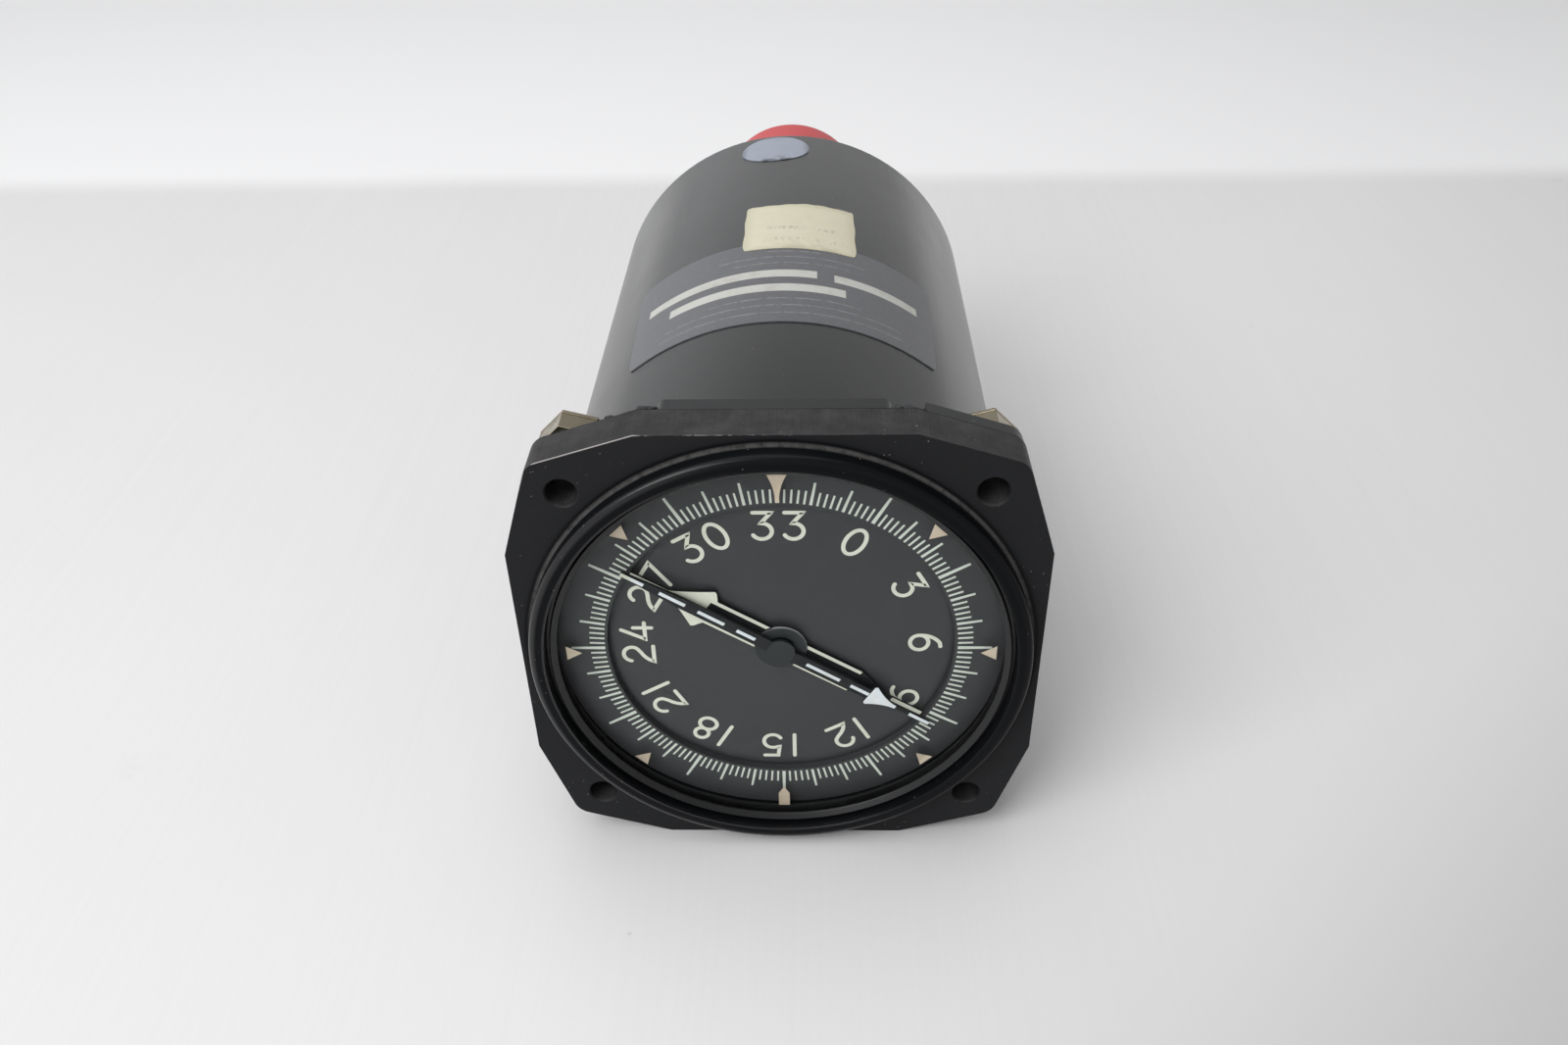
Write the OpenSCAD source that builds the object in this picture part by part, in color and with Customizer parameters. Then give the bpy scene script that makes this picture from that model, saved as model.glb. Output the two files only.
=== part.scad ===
// Radio magnetic indicator: a panel instrument with a turning compass card and two bearing pointers.
// The dial faces -Y, the case runs back along +Y, and +Z is up. The origin is on the dial's axis,
// in the front face of the mounting flange, which is the plane of the instrument panel.

/* [Mounting flange] */
// Width and height of the square flange
flange_w = 82.55; // [82.4:0.05:86]
// Thickness of the flange plate
flange_t = 7.3; // [6.5:0.1:9]
// Half of the straight stretch on each side
flange_flat = 20.2; // [17:0.1:23]
// Where the slanted stretches meet, from both axes
flange_corner = 36.2; // [36:0.1:37.5]
// Rounding radius of the corners
flange_round = 3.5; // [2:0.1:4.5]
// Spacing of the panel holes, across and up
hole_spacing = 62.87; // [62.8:0.01:64]
// Diameter of the panel holes
hole_d = 4.7; // [4.2:0.1:5]
// Chamfer at the mouth of a panel hole
hole_chamfer = 0.25; // [0.1:0.05:0.4]
// Length of the spigot that the case slides over
spigot_len = 4.5; // [3:0.1:8]
// Radial clearance between the spigot and the case
spigot_gap = 0.4; // [0.2:0.05:0.6]
// Bore of the spigot behind the card
spigot_bore = 70.4; // [69.6:0.1:71]

/* [Bezel and window] */
// How far the bezel ring stands out of the flange
bezel_h = 3.2; // [2.6:0.1:4.2]
// Wall of the bezel ring
bezel_wall = 2.5; // [2.2:0.1:2.8]
// Diameter of the open window
window_d = 70.7; // [69.9:0.1:71.2]
// Depth of the glass below the bezel's front
glass_depth = 2.3; // [2:0.1:2.8]
// Thickness of the cover glass
glass_t = 1.55; // [1.2:0.05:2]
// Radial clearance around the glass
glass_gap = 0.2; // [0.1:0.05:0.4]
// Thickness of the rubber seal behind the glass
seal_t = 0.5; // [0.3:0.05:0.7]
// Height of the retaining ring over the glass
ring_h = 1; // [0.6:0.1:1.5]
// Height of the retaining ring's outer foot
ring_foot_h = 0.3; // [0.2:0.05:0.5]
// Width of the open groove around the retaining ring
ring_groove = 0.65; // [0.4:0.05:0.9]
// Thickness of a coat of marking paint
paint_t = 0.05; // [0.03:0.01:0.1]

/* [Index marks] */
// Distance of the marks from the window's edge
mark_inset = 1; // [0.8:0.1:1.4]
// Width of the lubber line at its outer end
lubber_w = 3.2; // [2.4:0.1:4]
// Length of the lubber line
lubber_len = 5.05; // [4:0.05:5.6]
// Width of a triangle's base
triangle_w = 2.8; // [2.2:0.1:3.4]
// Height of a triangle
triangle_h = 2.5; // [2:0.1:3]
// Width of the bottom mark
house_w = 1.9; // [1.4:0.1:2.4]
// Length of the bottom mark up to its shoulders
house_h = 3; // [2:0.1:3.4]
// Height of the bottom mark's roof
roof_h = 1.5; // [1:0.1:2]

/* [Compass card] */
// Diameter of the card
card_d = 71.6; // [69.6:0.1:72]
// Radial clearance between the card and the housing
card_gap = 0.5; // [0.4:0.05:0.8]
// Room behind the card's disc in the casting
card_back_gap = 1; // [0.8:0.1:2]
// Thickness of the card's disc
card_t = 0.8; // [0.6:0.05:1.2]
// Inner diameter of the graduated ring
well_d = 55.7; // [54.6:0.1:56]
// Depth of the well inside the graduated ring
well_depth = 1.25; // [1.15:0.05:1.6]
// Degrees between two graduations
tick_step = 2; // [2:1:5]
// Where all graduations start, from the axis
tick_r = 28.3; // [28.1:0.1:29]
// Where the two-degree graduations end
short_tick_r = 30.7; // [30:0.1:31.4]
// Where the ten-degree graduations end
middle_tick_r = 32.3; // [31.5:0.1:33]
// Where the thirty-degree graduations end
long_tick_r = 33.75; // [33.1:0.05:34.1]
// Width of a two-degree graduation
tick_w = 0.35; // [0.25:0.05:0.45]
// How much wider each longer kind of graduation is
tick_w_step = 0.12; // [0.05:0.01:0.15]
// How much narrower a long graduation is at its outer end, as a share
tick_taper = 0.3; // [0:0.05:0.4]
// Heading under the lubber line, in degrees
heading = 330; // [0:1:359]
// Diameter of the hub's flange
hub_flange_d = 18; // [16:0.5:22]
// Thickness of the hub's flange
hub_flange_t = 1.3; // [1:0.1:1.8]
// Outer diameter of the hub's tube
hub_d = 9; // [8.6:0.1:9.2]
// Wall of the hub's tube
hub_wall = 1; // [0.8:0.05:1.2]
// Height of the hub's shoulder in front of the bearing
hub_shoulder = 0.8; // [0.5:0.1:1.1]
// Diameter of the card's screws
card_screw_d = 1.4; // [1.2:0.1:1.6]
// Diameter of their heads
card_screw_head_d = 2.5; // [2.2:0.1:2.8]

/* [Pointers] */
// Thickness of a pointer's blade
blade_t = 0.5; // [0.4:0.05:0.55]
// Gap between the glass and the front pointer
front_gap = 0.3; // [0.25:0.05:0.45]
// Gap between the front pointer and the card's ring
ring_gap = 0.55; // [0.45:0.05:0.8]
// Gap between the rear pointer and the card's disc
disc_gap = 0.4; // [0.3:0.05:0.5]
// Length of the single-bar pointer from the axis
single_len = 29; // [27.5:0.1:31]
// Direction of the single-bar pointer, clockwise from the top
single_dir = 123; // [0:1:359]
// Body width of the single-bar pointer
single_w = 2.1; // [1.4:0.1:2.4]
// Half width of its arrowhead
single_head = 2.2; // [1.6:0.1:2.4]
// Start of its arrowhead, from the axis
single_base = 17; // [16:0.1:18]
// Length of its arrowhead, from its barbs
single_head_len = 4.8; // [4.5:0.1:6.5]
// Where the inner dashes of its tail end, from the axis
single_tail = 22.6; // [21:0.1:24]
// Where its tail starts to narrow, from the axis
single_waist = 18.5; // [17:0.1:20]
// Clearance between the double-bar pointer and the graduated ring
double_gap = 0.45; // [0.3:0.05:1.5]
// Direction of the double-bar pointer, clockwise from the top
double_dir = 302.6; // [0:0.1:359]
// Distance of each of its bars from the middle line
double_rail = 2.1; // [2:0.1:2.8]
// Half width of its arrowhead
double_head = 4.1; // [3.4:0.1:4.6]
// Start of its arrowhead, from the axis
double_base = 14; // [13.4:0.1:15]
// Length of its arrowhead, from its barbs
double_head_len = 6.4; // [5.8:0.1:7]
// How far the arrowhead runs back along the bars
double_barb = 0.9; // [0.5:0.1:1.2]
// Where the two bars end on the tail, from the axis
double_tail = 14.1; // [13:0.1:15]
// Length of its tapered tail
double_taper = 6; // [5:0.1:7]
// Width of a painted line
line_w = 0.6; // [0.4:0.05:0.8]
// Width of a pointer's tip
tip_w = 0.7; // [0.5:0.05:0.9]
// Diameter of the inner shaft
shaft_d = 2; // [1.8:0.05:2.2]
// Outer diameter of the hollow shaft
sleeve_d = 4.4; // [4.2:0.05:4.6]
// Bore of the hollow shaft
sleeve_bore = 2.9; // [2.7:0.05:3]
// Radial running clearance of every shaft in its bush
run_gap = 0.03; // [0.02:0.01:0.05]
// Diameter of the single-bar pointer's hub
single_hub_d = 4.6; // [4:0.1:5.4]
// Diameter of the double-bar pointer's hub
double_hub_d = 8.4; // [7.4:0.1:9]
// Rise of the single-bar pointer's hub over its blade
single_hub_rise = 0.15; // [0.1:0.01:0.18]
// Rise of the double-bar pointer's hub over its blade
double_hub_rise = 0.45; // [0.3:0.05:0.55]

/* [Gear train] */
// Module of the gears
gear_m = 0.5; // [0.5:0.005:0.52]
// Teeth of the card gear and of the transformer gear
card_teeth = 48; // [48:1:50]
// Teeth of the intermediate pinion
pinion_teeth = 18; // [18:1:20]
// Teeth of the intermediate wheel
wheel_teeth = 45; // [43:1:46]
// Teeth of the motor pinion
motor_teeth = 18; // [18:1:20]
// Play between meshing teeth, along the pitch circle
backlash = 0.08; // [0.06:0.01:0.12]
// Face width of a gear
gear_t = 1.5; // [1.2:0.1:1.8]
// How much wider a pinion is than its wheel
pinion_extra = 0.6; // [0.4:0.1:0.8]
// Space between neighbouring gears along the axis
gear_gap = 0.7; // [0.5:0.1:1]
// Diameter of the small arbors
arbor_d = 2.4; // [2.2:0.1:2.6]
// Diameter of the bushes that carry the small arbors
bush_d = 5; // [4.6:0.1:5.6]

/* [Frame] */
// Thickness of the frame plates
plate_t = 2; // [1.6:0.1:2.6]
// Clearance between the frame plates and the case
frame_gap = 0.5; // [0.4:0.05:0.7]
// Clear height of the gear bay
gear_bay = 6.4; // [6.2:0.1:8]
// Diameter of a tie rod
rod_d = 2.4; // [2:0.1:2.6]
// Diameter of a tie rod's head
rod_head_d = 3.4; // [3:0.1:3.8]
// Outer diameter of a spacer tube
spacer_d = 5.2; // [4.6:0.1:5.6]
// Clearance of the rods in plates and spacers
rod_gap = 0.1; // [0.05:0.01:0.15]
// Height of screw heads
head_h = 1.2; // [1:0.1:1.5]
// Diameter of the screws that hold the bearing plate
plate_screw_d = 1.6; // [1.4:0.1:1.8]
// Diameter of their heads
plate_screw_head_d = 2.4; // [2.1:0.1:2.5]
// Depth of these screws in the spigot
plate_screw_depth = 3; // [2:0.5:4]

/* [Synchros and motor] */
// Diameter of the two pointer synchros
synchro_d = 27; // [26:0.1:27.6]
// Length of a pointer synchro
synchro_len = 30; // [28:0.5:32]
// Diameter of the heading transformer and of the motor
small_d = 19.05; // [18.6:0.05:19.3]
// Length of the heading transformer
transformer_len = 27; // [24:0.5:27.5]
// Length of the card motor
motor_len = 38; // [34:0.5:42]
// Orbit of the motor around the dial's axis
motor_orbit = 26.2; // [25.8:0.1:27]
// Wall of the round housings
shell_wall = 1; // [0.8:0.1:1.3]
// Air gap between rotor and stator
air_gap = 0.25; // [0.2:0.05:0.4]
// Depth of a stator, from the housing to the rotor
stator_t = 4; // [3.6:0.1:4.4]
// Number of stator slots
stator_slots = 12; // [8:1:16]
// Half width of the iron neck of a pointer rotor
neck_half = 3.2; // [2.8:0.1:3.6]
// Thickness of the coil around that neck
coil_t = 1.5; // [1.2:0.1:1.8]

/* [Case] */
// Outer diameter of the case and of the bezel ring
case_d = 79.2; // [78.8:0.05:79.3]
// Length from the panel plane to the case's back
case_len = 130.2; // [128:0.1:140]
// Wall of the case
case_wall = 1.3; // [1:0.1:1.6]
// Thickness of the case's flange plate
case_flange_t = 2.8; // [2.2:0.1:3.4]
// How far the flange plate stays inside the flange's slants
case_flange_inset = 1.4; // [1:0.1:1.6]
// Width across the flats of the brass nuts
nut_af = 9.53; // [9.2:0.01:9.6]
// Height of a brass nut
nut_h = 4.9; // [3:0.1:5]
// Bore of a brass nut
nut_bore = 3.5; // [3.2:0.1:3.8]
// Width of the groove around a nut
nut_groove_w = 0.25; // [0.2:0.05:0.4]
// Start of the data plate behind the panel
data_plate_y = 38.5; // [30:0.5:42]
// Length of the data plate along the case
data_plate_len = 31.5; // [26:0.5:34]
// Arc of the data plate in degrees
data_plate_arc = 83.6; // [70:0.2:95]
// Thickness of the data plate
data_plate_t = 0.2; // [0.15:0.05:0.3]
// Length of the paper label
label_len = 20.5; // [16:0.5:24]
// Arc of the paper label in degrees
label_arc = 30.4; // [24:0.2:36]
// Thickness of paper
paper_t = 0.12; // [0.08:0.02:0.2]
// Diameter of the round sticker
sticker_d = 14.6; // [12:0.2:14.8]
// Overlap of the paper label on the data plate
label_lap = 2.2; // [1:0.1:4]

/* [Connector] */
// Height of the connector's axis over the dial's axis
plug_z = 18; // [16:0.1:18.4]
// Outer diameter of the connector's shell
shell_d = 31.4; // [30:0.1:31.8]
// How far the shell stands out of the case
shell_len = 16.3; // [14:0.1:17]
// Wall of the shell
plug_wall = 1.6; // [1.2:0.1:2]
// Side of the shell's square flange
plug_flange_w = 32.6; // [32.2:0.1:33]
// Spacing of the flange's screws
plug_screw_spacing = 27.6; // [27.2:0.1:28]
// Diameter of these screws
plug_screw_d = 2.2; // [2:0.1:2.4]
// Diameter of their heads
plug_screw_head_d = 3.6; // [3.2:0.1:3.8]
// Number of pins in the outer ring
outer_pins = 14; // [10:1:16]
// Number of pins in the inner ring
inner_pins = 8; // [6:1:9]
// Diameter of a pin
pin_d = 1.6; // [1.2:0.1:1.8]
// How far a pin stands out of the insert
pin_reach = 5.5; // [4.5:0.1:7]
// Wall of the dust cap
cap_wall = 1.1; // [0.9:0.1:1.3]
// Clearance between the dust cap and the shell
cap_gap = 0.2; // [0.1:0.05:0.3]
// Room inside the dust cap in front of the shell
cap_room = 5; // [4.6:0.1:6]

/* [Bearings] */
// Outer diameter of the card's ball bearing
bearing_od = 17; // [16.6:0.1:17.6]
// Width of the card's ball bearing
bearing_w = 3; // [2.6:0.1:3.4]
// Thickness of a bearing race
race_t = 1.4; // [1.3:0.05:1.5]
// Number of balls
ball_count = 12; // [8:1:14]
// How deep a ball sits in each race
ball_seat = 0.45; // [0.3:0.05:0.5]
// Length of the plain bushes on the dial's axis
bush_len = 3; // [2:0.5:4]
// Wall of the lip that holds the bearing
lip_t = 0.6; // [0.4:0.1:0.8]

/* [Amplifier] */
// Distance of the circuit board from the rear plate
board_gap = 8; // [6:0.5:10]
// Thickness of the circuit board
board_t = 1.6; // [1.2:0.1:2]
// Diameter of the circuit board
board_d = 73; // [72.4:0.2:75]
// Diameter of a transistor can
transistor_d = 8.4; // [7.6:0.2:9]
// Height of a transistor can
transistor_h = 6.5; // [5:0.5:8]
// Diameter of a capacitor
capacitor_d = 7; // [5:0.5:8]
// Length of a capacitor
capacitor_len = 16; // [12:0.5:17]
// Side of the output transformer's core
core_w = 15; // [12:1:16]

/* [Hidden] */
$fn = 96;

// Radii of the bezel, the window and the card
flange_r = flange_w / 2;
bezel_r = case_d / 2;
bezel_bore_r = bezel_r - bezel_wall;
window_r = window_d / 2;
glass_r = bezel_bore_r - glass_gap;
card_r = card_d / 2;
well_r = well_d / 2;
card_bay_r = card_r + card_gap;
cavity_r = spigot_bore / 2;
can_r = bezel_r - case_wall;
spigot_r = can_r - spigot_gap;
plate_r = can_r - frame_gap;
hub_r = hub_d / 2;
hub_bore_r = hub_r - hub_wall;
double_len = well_r - double_gap;
shaft_r = shaft_d / 2;
sleeve_r = sleeve_d / 2;
sleeve_bore_r = sleeve_bore / 2;
arbor_r = arbor_d / 2;
bush_r = bush_d / 2;
rod_r = rod_d / 2;
hole_r = hole_d / 2;
seal_overlap = 0.25;
edge_r = 0.9;
chamfer = 0.2;
// How far a cutting body passes through the face that it cuts
over = 1;

// Depths of the dial, from the bezel's front to the back of the card's hub
y_bezel = -bezel_h;
y_glass = y_bezel + glass_depth;
y_glass_back = y_glass + glass_t;
y_seat = y_glass_back + seal_t;
y_single = y_glass_back + front_gap;
y_single_back = y_single + blade_t;
y_card = y_single_back + ring_gap;
y_disc = y_card + well_depth;
y_disc_back = y_disc + card_t;
y_double_back = y_disc - disc_gap;
y_double = y_double_back - blade_t;
y_card_bay = y_disc_back + card_back_gap;
y_hub_back = y_disc_back + hub_flange_t;

// Depths of the mechanism, from the spigot to the circuit board
y_spigot = flange_t + spigot_len;
y_bay = y_spigot + plate_t;
y_bearing_back = y_bay - lip_t;
y_bearing = y_bearing_back - bearing_w;
y_card_gear = y_bay + gear_gap;
y_wheel = y_card_gear + gear_t + gear_gap;
y_gear_plate = y_bay + gear_bay;
y_synchro = y_gear_plate + plate_t;
y_middle = y_synchro + synchro_len;
y_rear_synchro = y_middle + plate_t;
y_rear_plate = y_rear_synchro + synchro_len;
y_rear_plate_back = y_rear_plate + plate_t;
y_board = y_rear_plate_back + board_gap;
y_board_back = y_board + board_t;
pilot_r = 5;
small_pilot_r = 4;
boss_r = bearing_od / 2 + 2;
boss_lead = 0.6;
lip_clear = 0.4;
sleeve_short = 1;
y_sleeve_end = y_middle - sleeve_short;
shaft_overhang = 1;
y_shaft_end = y_rear_plate_back + shaft_overhang;

// Gears: centre distances, and the angles of the small axes seen from the front
pressure = 20;
dedendum = 1.25 * gear_m;
gear_hub_wall = 1;
card_mesh = gear_m * card_teeth;
pinion_mesh = gear_m * (card_teeth + pinion_teeth) / 2;
motor_mesh = gear_m * (wheel_teeth + motor_teeth) / 2;
transformer_dir = 150;
intermediate_dir = transformer_dir + round(180 * card_teeth / 360) * 360 / card_teeth;
motor_turn = acos((pow(pinion_mesh, 2) + pow(motor_orbit, 2) - pow(motor_mesh, 2))
    / (2 * pinion_mesh * motor_orbit));
motor_dir = intermediate_dir - motor_turn;
intermediate_at = polar(pinion_mesh, intermediate_dir);
motor_at = polar(motor_orbit, motor_dir);
transformer_at = polar(card_mesh, transformer_dir);
motor_line = motor_at - intermediate_at;
motor_line_dir = atan2(motor_line[1], motor_line[0]);

// Tie rods and plate screws
rod_dirs = [10, 100, 190, 250];
rod_orbit = cavity_r - rod_head_d / 2 - chamfer;
rod_end = 3;
rod_nut_h = 2;
screw_orbit = (cavity_r + spigot_r) / 2;
screw_dirs = [0 : 60 : 359];
slot_w = 0.45;

// Case and connector
y_can_end = case_len;
y_can_wall = case_len - case_wall;
y_case_flange_back = flange_t + case_flange_t;
case_edge_r = 1.4;
shell_r = shell_d / 2;
shell_bore_r = shell_r - plug_wall;
y_shell_end = case_len + shell_len;
plug_flange_t = 2;
y_plug_flange = y_can_wall - plug_flange_t;
plug_flange_rim = 2.2;
shell_tail = 4;
y_shell_start = y_plug_flange - shell_tail;
insert_len = 12;
y_insert_end = y_shell_start + insert_len;
pin_tail = 2;
outer_ring_inset = 3.2;
inner_ring_inset = 7.6;
cap_bore_r = shell_r + cap_gap;
cap_r = cap_bore_r + cap_wall;
cap_lift = 0.4;
y_cap_floor = y_shell_end + cap_room;

function polar(r, a) = [r * cos(a), r * sin(a)];
// Point on the dial at a radius and at an angle clockwise from the top
function dial(r, a) = [r * sin(a), r * cos(a)];
// Involute function of an angle, in degrees
function roll(a) = tan(a) * 180 / PI - a;
function arc(r, a, b, n) = [for (i = [0 : n]) polar(r, a + (b - a) * i / n)];

// A flat outline drawn across and up, made solid from depth y for t
module slab(y, t) translate([0, y + t, 0]) rotate([90, 0, 0]) linear_extrude(t) children();

// A round bar along the depth
module rod(y, t, r, at = [0, 0]) {
    translate([at[0], y, at[1]]) rotate([-90, 0, 0]) cylinder(h = t, r = r);
}

// A hole right through what lies between two depths
module hole(y, t, r, at = [0, 0]) rod(y - over, t + 2 * over, r, at);

module tube(y, t, r, bore, at = [0, 0]) difference() {
    rod(y, t, r, at);
    hole(y, t, bore, at);
}

// A slotted screw head between two depths, its slot towards the back or the front
module screw_head(y, t, r, at = [0, 0], back = true) difference() {
    rod(y, t, r, at);
    translate([at[0] - 2 * r, y + (back ? t / 2 : -t / 2), at[1] - slot_w / 2])
        cube([4 * r, t, slot_w]);
}

// A profile of [radius, depth] points turned about an axis along the depth
module turned(points, at = [0, 0]) {
    translate([at[0], 0, at[1]]) rotate([-90, 0, 0]) rotate_extrude() polygon(points);
}

// Outline of the flange: flats, slants and rounded corners, drawn in by an inset
module flange_outline(inset = 0) {
    half = flange_r - inset;
    meet = flange_corner - inset;
    slant = atan2(half - meet, meet - flange_flat);
    centre = meet - flange_round / cos(45 - slant) / sqrt(2);
    corner = [for (p = arc(flange_round, 90 - slant, slant, 8)) [centre + p[0], centre + p[1]]];
    quarter = [[flange_flat, half], each corner, [half, flange_flat]];
    polygon([for (q = [0 : 3]) for (p = quarter) turn_quarter(p, q)]);
}

// A point turned clockwise by a number of right angles
function turn_quarter(p, q) = q == 0 ? p : turn_quarter([p[1], -p[0]], q - 1);

module at_panel_holes() {
    for (x = [-1, 1]) for (z = [-1, 1]) {
        translate([x * hole_spacing / 2, 0, z * hole_spacing / 2]) children();
    }
}

// Casting: the square flange, the bezel ring in front and the spigot behind
module mounting_flange() color("#1d1e20") {
    difference() {
        union() {
            slab(0, flange_t) flange_outline();
            turned([[0, y_bezel], each [for (p = arc(edge_r, -90, 0, 6))
                    [bezel_r - edge_r + p[0], y_bezel + edge_r + p[1]]],
                [bezel_r, flange_t / 2], [0, flange_t / 2]]);
            rod(flange_t / 2, y_spigot - flange_t / 2, spigot_r);
        }
        rod(y_bezel - over, y_seat - y_bezel + over, bezel_bore_r);
        rod(y_seat - over, y_card_bay - y_seat + over, card_bay_r);
        hole(y_card_bay, y_spigot - y_card_bay, cavity_r);
        at_panel_holes() {
            hole(0, flange_t, hole_r);
            translate([0, -hole_chamfer, 0]) rotate([-90, 0, 0])
                cylinder(h = 2 * hole_chamfer, r1 = hole_r + 2 * hole_chamfer, r2 = hole_r);
        }
        plate_screw_cuts();
    }
}

// Holes for the screws that hold the bearing plate to the spigot
module plate_screw_cuts() for (a = screw_dirs) {
    rod(y_spigot - plate_screw_depth, plate_screw_depth + plate_t + over, plate_screw_d / 2,
        polar(screw_orbit, a));
}

module retaining_ring() color("#17181a") turned([[window_r, y_glass],
    [bezel_bore_r, y_glass], [bezel_bore_r, y_glass - ring_foot_h],
    [bezel_bore_r - ring_groove, y_glass - ring_foot_h],
    [bezel_bore_r - ring_groove, y_glass - ring_h + chamfer],
    [bezel_bore_r - ring_groove - chamfer, y_glass - ring_h], [window_r, y_glass - ring_foot_h]]);

module window_glass() color("#dfe8ea", 0.3) rod(y_glass, glass_t, glass_r);

module glass_seal() color("#101010") {
    tube(y_glass_back, seal_t, bezel_bore_r, window_r + seal_overlap);
}

// Fixed marks on the back of the glass: lubber line, six triangles and the bottom mark
module index_marks() color("#d8cdb8") slab(y_glass_back, paint_t) {
    mark_r = window_r - mark_inset;
    lubber_tip = 0.3;
    narrowing = 2.2;
    sides = 8;
    flank = [for (i = [0 : sides]) let (t = i / sides)
        [lubber_tip + (lubber_w / 2 - lubber_tip) * pow(1 - t, narrowing), mark_r - lubber_len * t]];
    polygon([each flank, each [for (i = [sides : -1 : 0]) [-flank[i][0], flank[i][1]]]]);
    for (a = [45, 90, 135, 225, 270, 315]) rotate(-a) polygon([[-triangle_w / 2, mark_r],
        [triangle_w / 2, mark_r], [0, mark_r - triangle_h]]);
    rotate(180) polygon([[-house_w / 2, window_r], [house_w / 2, window_r],
        [house_w / 2, window_r - house_h], [0, window_r - house_h - roof_h],
        [-house_w / 2, window_r - house_h]]);
}

// Compass card: a disc with a graduated ring on its face, carried by a hub
module card_disc() color("#3b3e40") difference() {
    tube(y_disc, card_t, card_r, hub_bore_r);
    card_screw_cuts();
}

module graduated_ring() color("#3f4244") tube(y_card, well_depth, card_r, well_r);

module card_graduations() color("#dfe3d8") slab(y_card - paint_t, paint_t) {
    for (a = [0 : tick_step : 359]) {
        kind = a % 30 == 0 ? 2 : a % 10 == 0 ? 1 : 0;
        w = tick_w + kind * tick_w_step;
        end = [short_tick_r, middle_tick_r, long_tick_r][kind];
        tip = w / 2 * (1 - tick_taper * (end - tick_r) / (long_tick_r - tick_r));
        rotate(heading - a) polygon([[-w / 2, tick_r], [-tip, end], [tip, end], [w / 2, tick_r]]);
    }
}

card_screw_r = card_screw_d / 2;
card_screw_orbit = (hub_r + hub_flange_d / 2) / 2;
card_screw_cover = 0.2;

module card_screw_cuts() {
    for (a = [45 : 90 : 359]) {
        rod(y_disc + card_screw_cover, y_hub_back - y_disc, card_screw_r,
            polar(card_screw_orbit, a));
    }
}

module card_hub() color("#b9a35c") difference() {
    turned([[hub_bore_r, y_disc_back], [hub_flange_d / 2, y_disc_back],
        [hub_flange_d / 2, y_hub_back], [hub_r + hub_shoulder, y_hub_back],
        [hub_r + hub_shoulder, y_bearing],
        [hub_r, y_bearing], [hub_r, y_card_gear + gear_t], [hub_bore_r, y_card_gear + gear_t]]);
    card_screw_cuts();
}

module card_screws() color("#8c8c88") for (a = [45 : 90 : 359]) {
    at = polar(card_screw_orbit, a);
    rod(y_disc + card_screw_cover, y_hub_back - y_disc - card_screw_cover, card_screw_r, at);
    screw_head(y_hub_back, head_h / 2, card_screw_head_d / 2, at);
}

// Half the angle that a tooth takes at radius r, in degrees
function tooth_half(teeth, r) =
    let (pitch_r = gear_m * teeth / 2, base_r = pitch_r * cos(pressure))
    90 / teeth - backlash / 2 / pitch_r * 180 / PI + roll(pressure)
        - (r > base_r ? roll(acos(base_r / r)) : 0);

// Outline of an involute gear with a tooth centred on angle 0
module gear_outline(teeth) {
    pitch_r = gear_m * teeth / 2;
    base_r = pitch_r * cos(pressure);
    root_r = pitch_r - dedendum;
    flank = concat(root_r < base_r ? [root_r, base_r + 0.01] : [root_r],
        [pitch_r, pitch_r + gear_m / 2, pitch_r + gear_m]);
    n = len(flank) - 1;
    polygon([for (t = [0 : teeth - 1]) each [
        each [for (i = [0 : n]) polar(flank[i], 360 * t / teeth - tooth_half(teeth, flank[i]))],
        each [for (i = [n : -1 : 0]) polar(flank[i], 360 * t / teeth + tooth_half(teeth, flank[i]))]
    ]]);
}

// A gear on its axis, with a tooth, or half a pitch later a gap, towards a direction
module gear(y, t, teeth, bore, at, dir, gap = false) {
    difference() {
        slab(y, t) translate(at) rotate(dir + (gap ? 180 / teeth : 0)) gear_outline(teeth);
        hole(y, t, bore, at);
    }
}

module card_gear() color("#b08d3e") {
    gear(y_card_gear, gear_t, card_teeth, hub_r, [0, 0], transformer_dir);
    tube(y_bearing_back, y_card_gear - y_bearing_back, hub_r + gear_hub_wall, hub_r);
}

module hub_bush() color("#a06a3a") {
    tube(y_bearing_back - 2 * bush_len, 2 * bush_len, hub_bore_r, sleeve_r + run_gap);
}

ball_orbit = (hub_r + bearing_od / 2) / 2;
race_gap = bearing_od / 2 - hub_r - 2 * race_t;
ball_r = race_gap / 2 + ball_seat;
y_ball = y_bearing + bearing_w / 2;
ball_fn = 48;

module ball_groove() {
    translate([0, y_ball, 0]) rotate([-90, 0, 0])
        rotate_extrude() translate([ball_orbit, 0]) circle(ball_r + run_gap, $fn = ball_fn);
}

module bearing_inner_race() color("#c8cacc") difference() {
    tube(y_bearing, bearing_w, hub_r + race_t, hub_r);
    ball_groove();
}

module bearing_outer_race() color("#c0c2c4") difference() {
    tube(y_bearing, bearing_w, bearing_od / 2, bearing_od / 2 - race_t);
    ball_groove();
}

module bearing_balls() color("#e4e6e8") for (i = [0 : ball_count - 1]) {
    at = polar(ball_orbit, 360 * i / ball_count);
    translate([at[0], y_ball, at[1]]) sphere(r = ball_r, $fn = ball_fn);
}

// Single-bar pointer, in front, on the inner shaft
neck_wall = 0.4;
neck_back = 0.2;
single_neck_r = shaft_r + neck_wall;
y_sleeve_front = y_double - double_hub_rise;
// Painted dashes between hub and arrowhead, and on the tail, from the axis
dash_gap = 0.4;
head_dashes = [[4.9, 11.3], [13.4, single_base]];
tail_dashes = [[4.8, 8.2], [10.5, 15.3], [17.6, single_tail - dash_gap]];
end_bar_start = 25;
paint_inset = 0.1;
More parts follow.
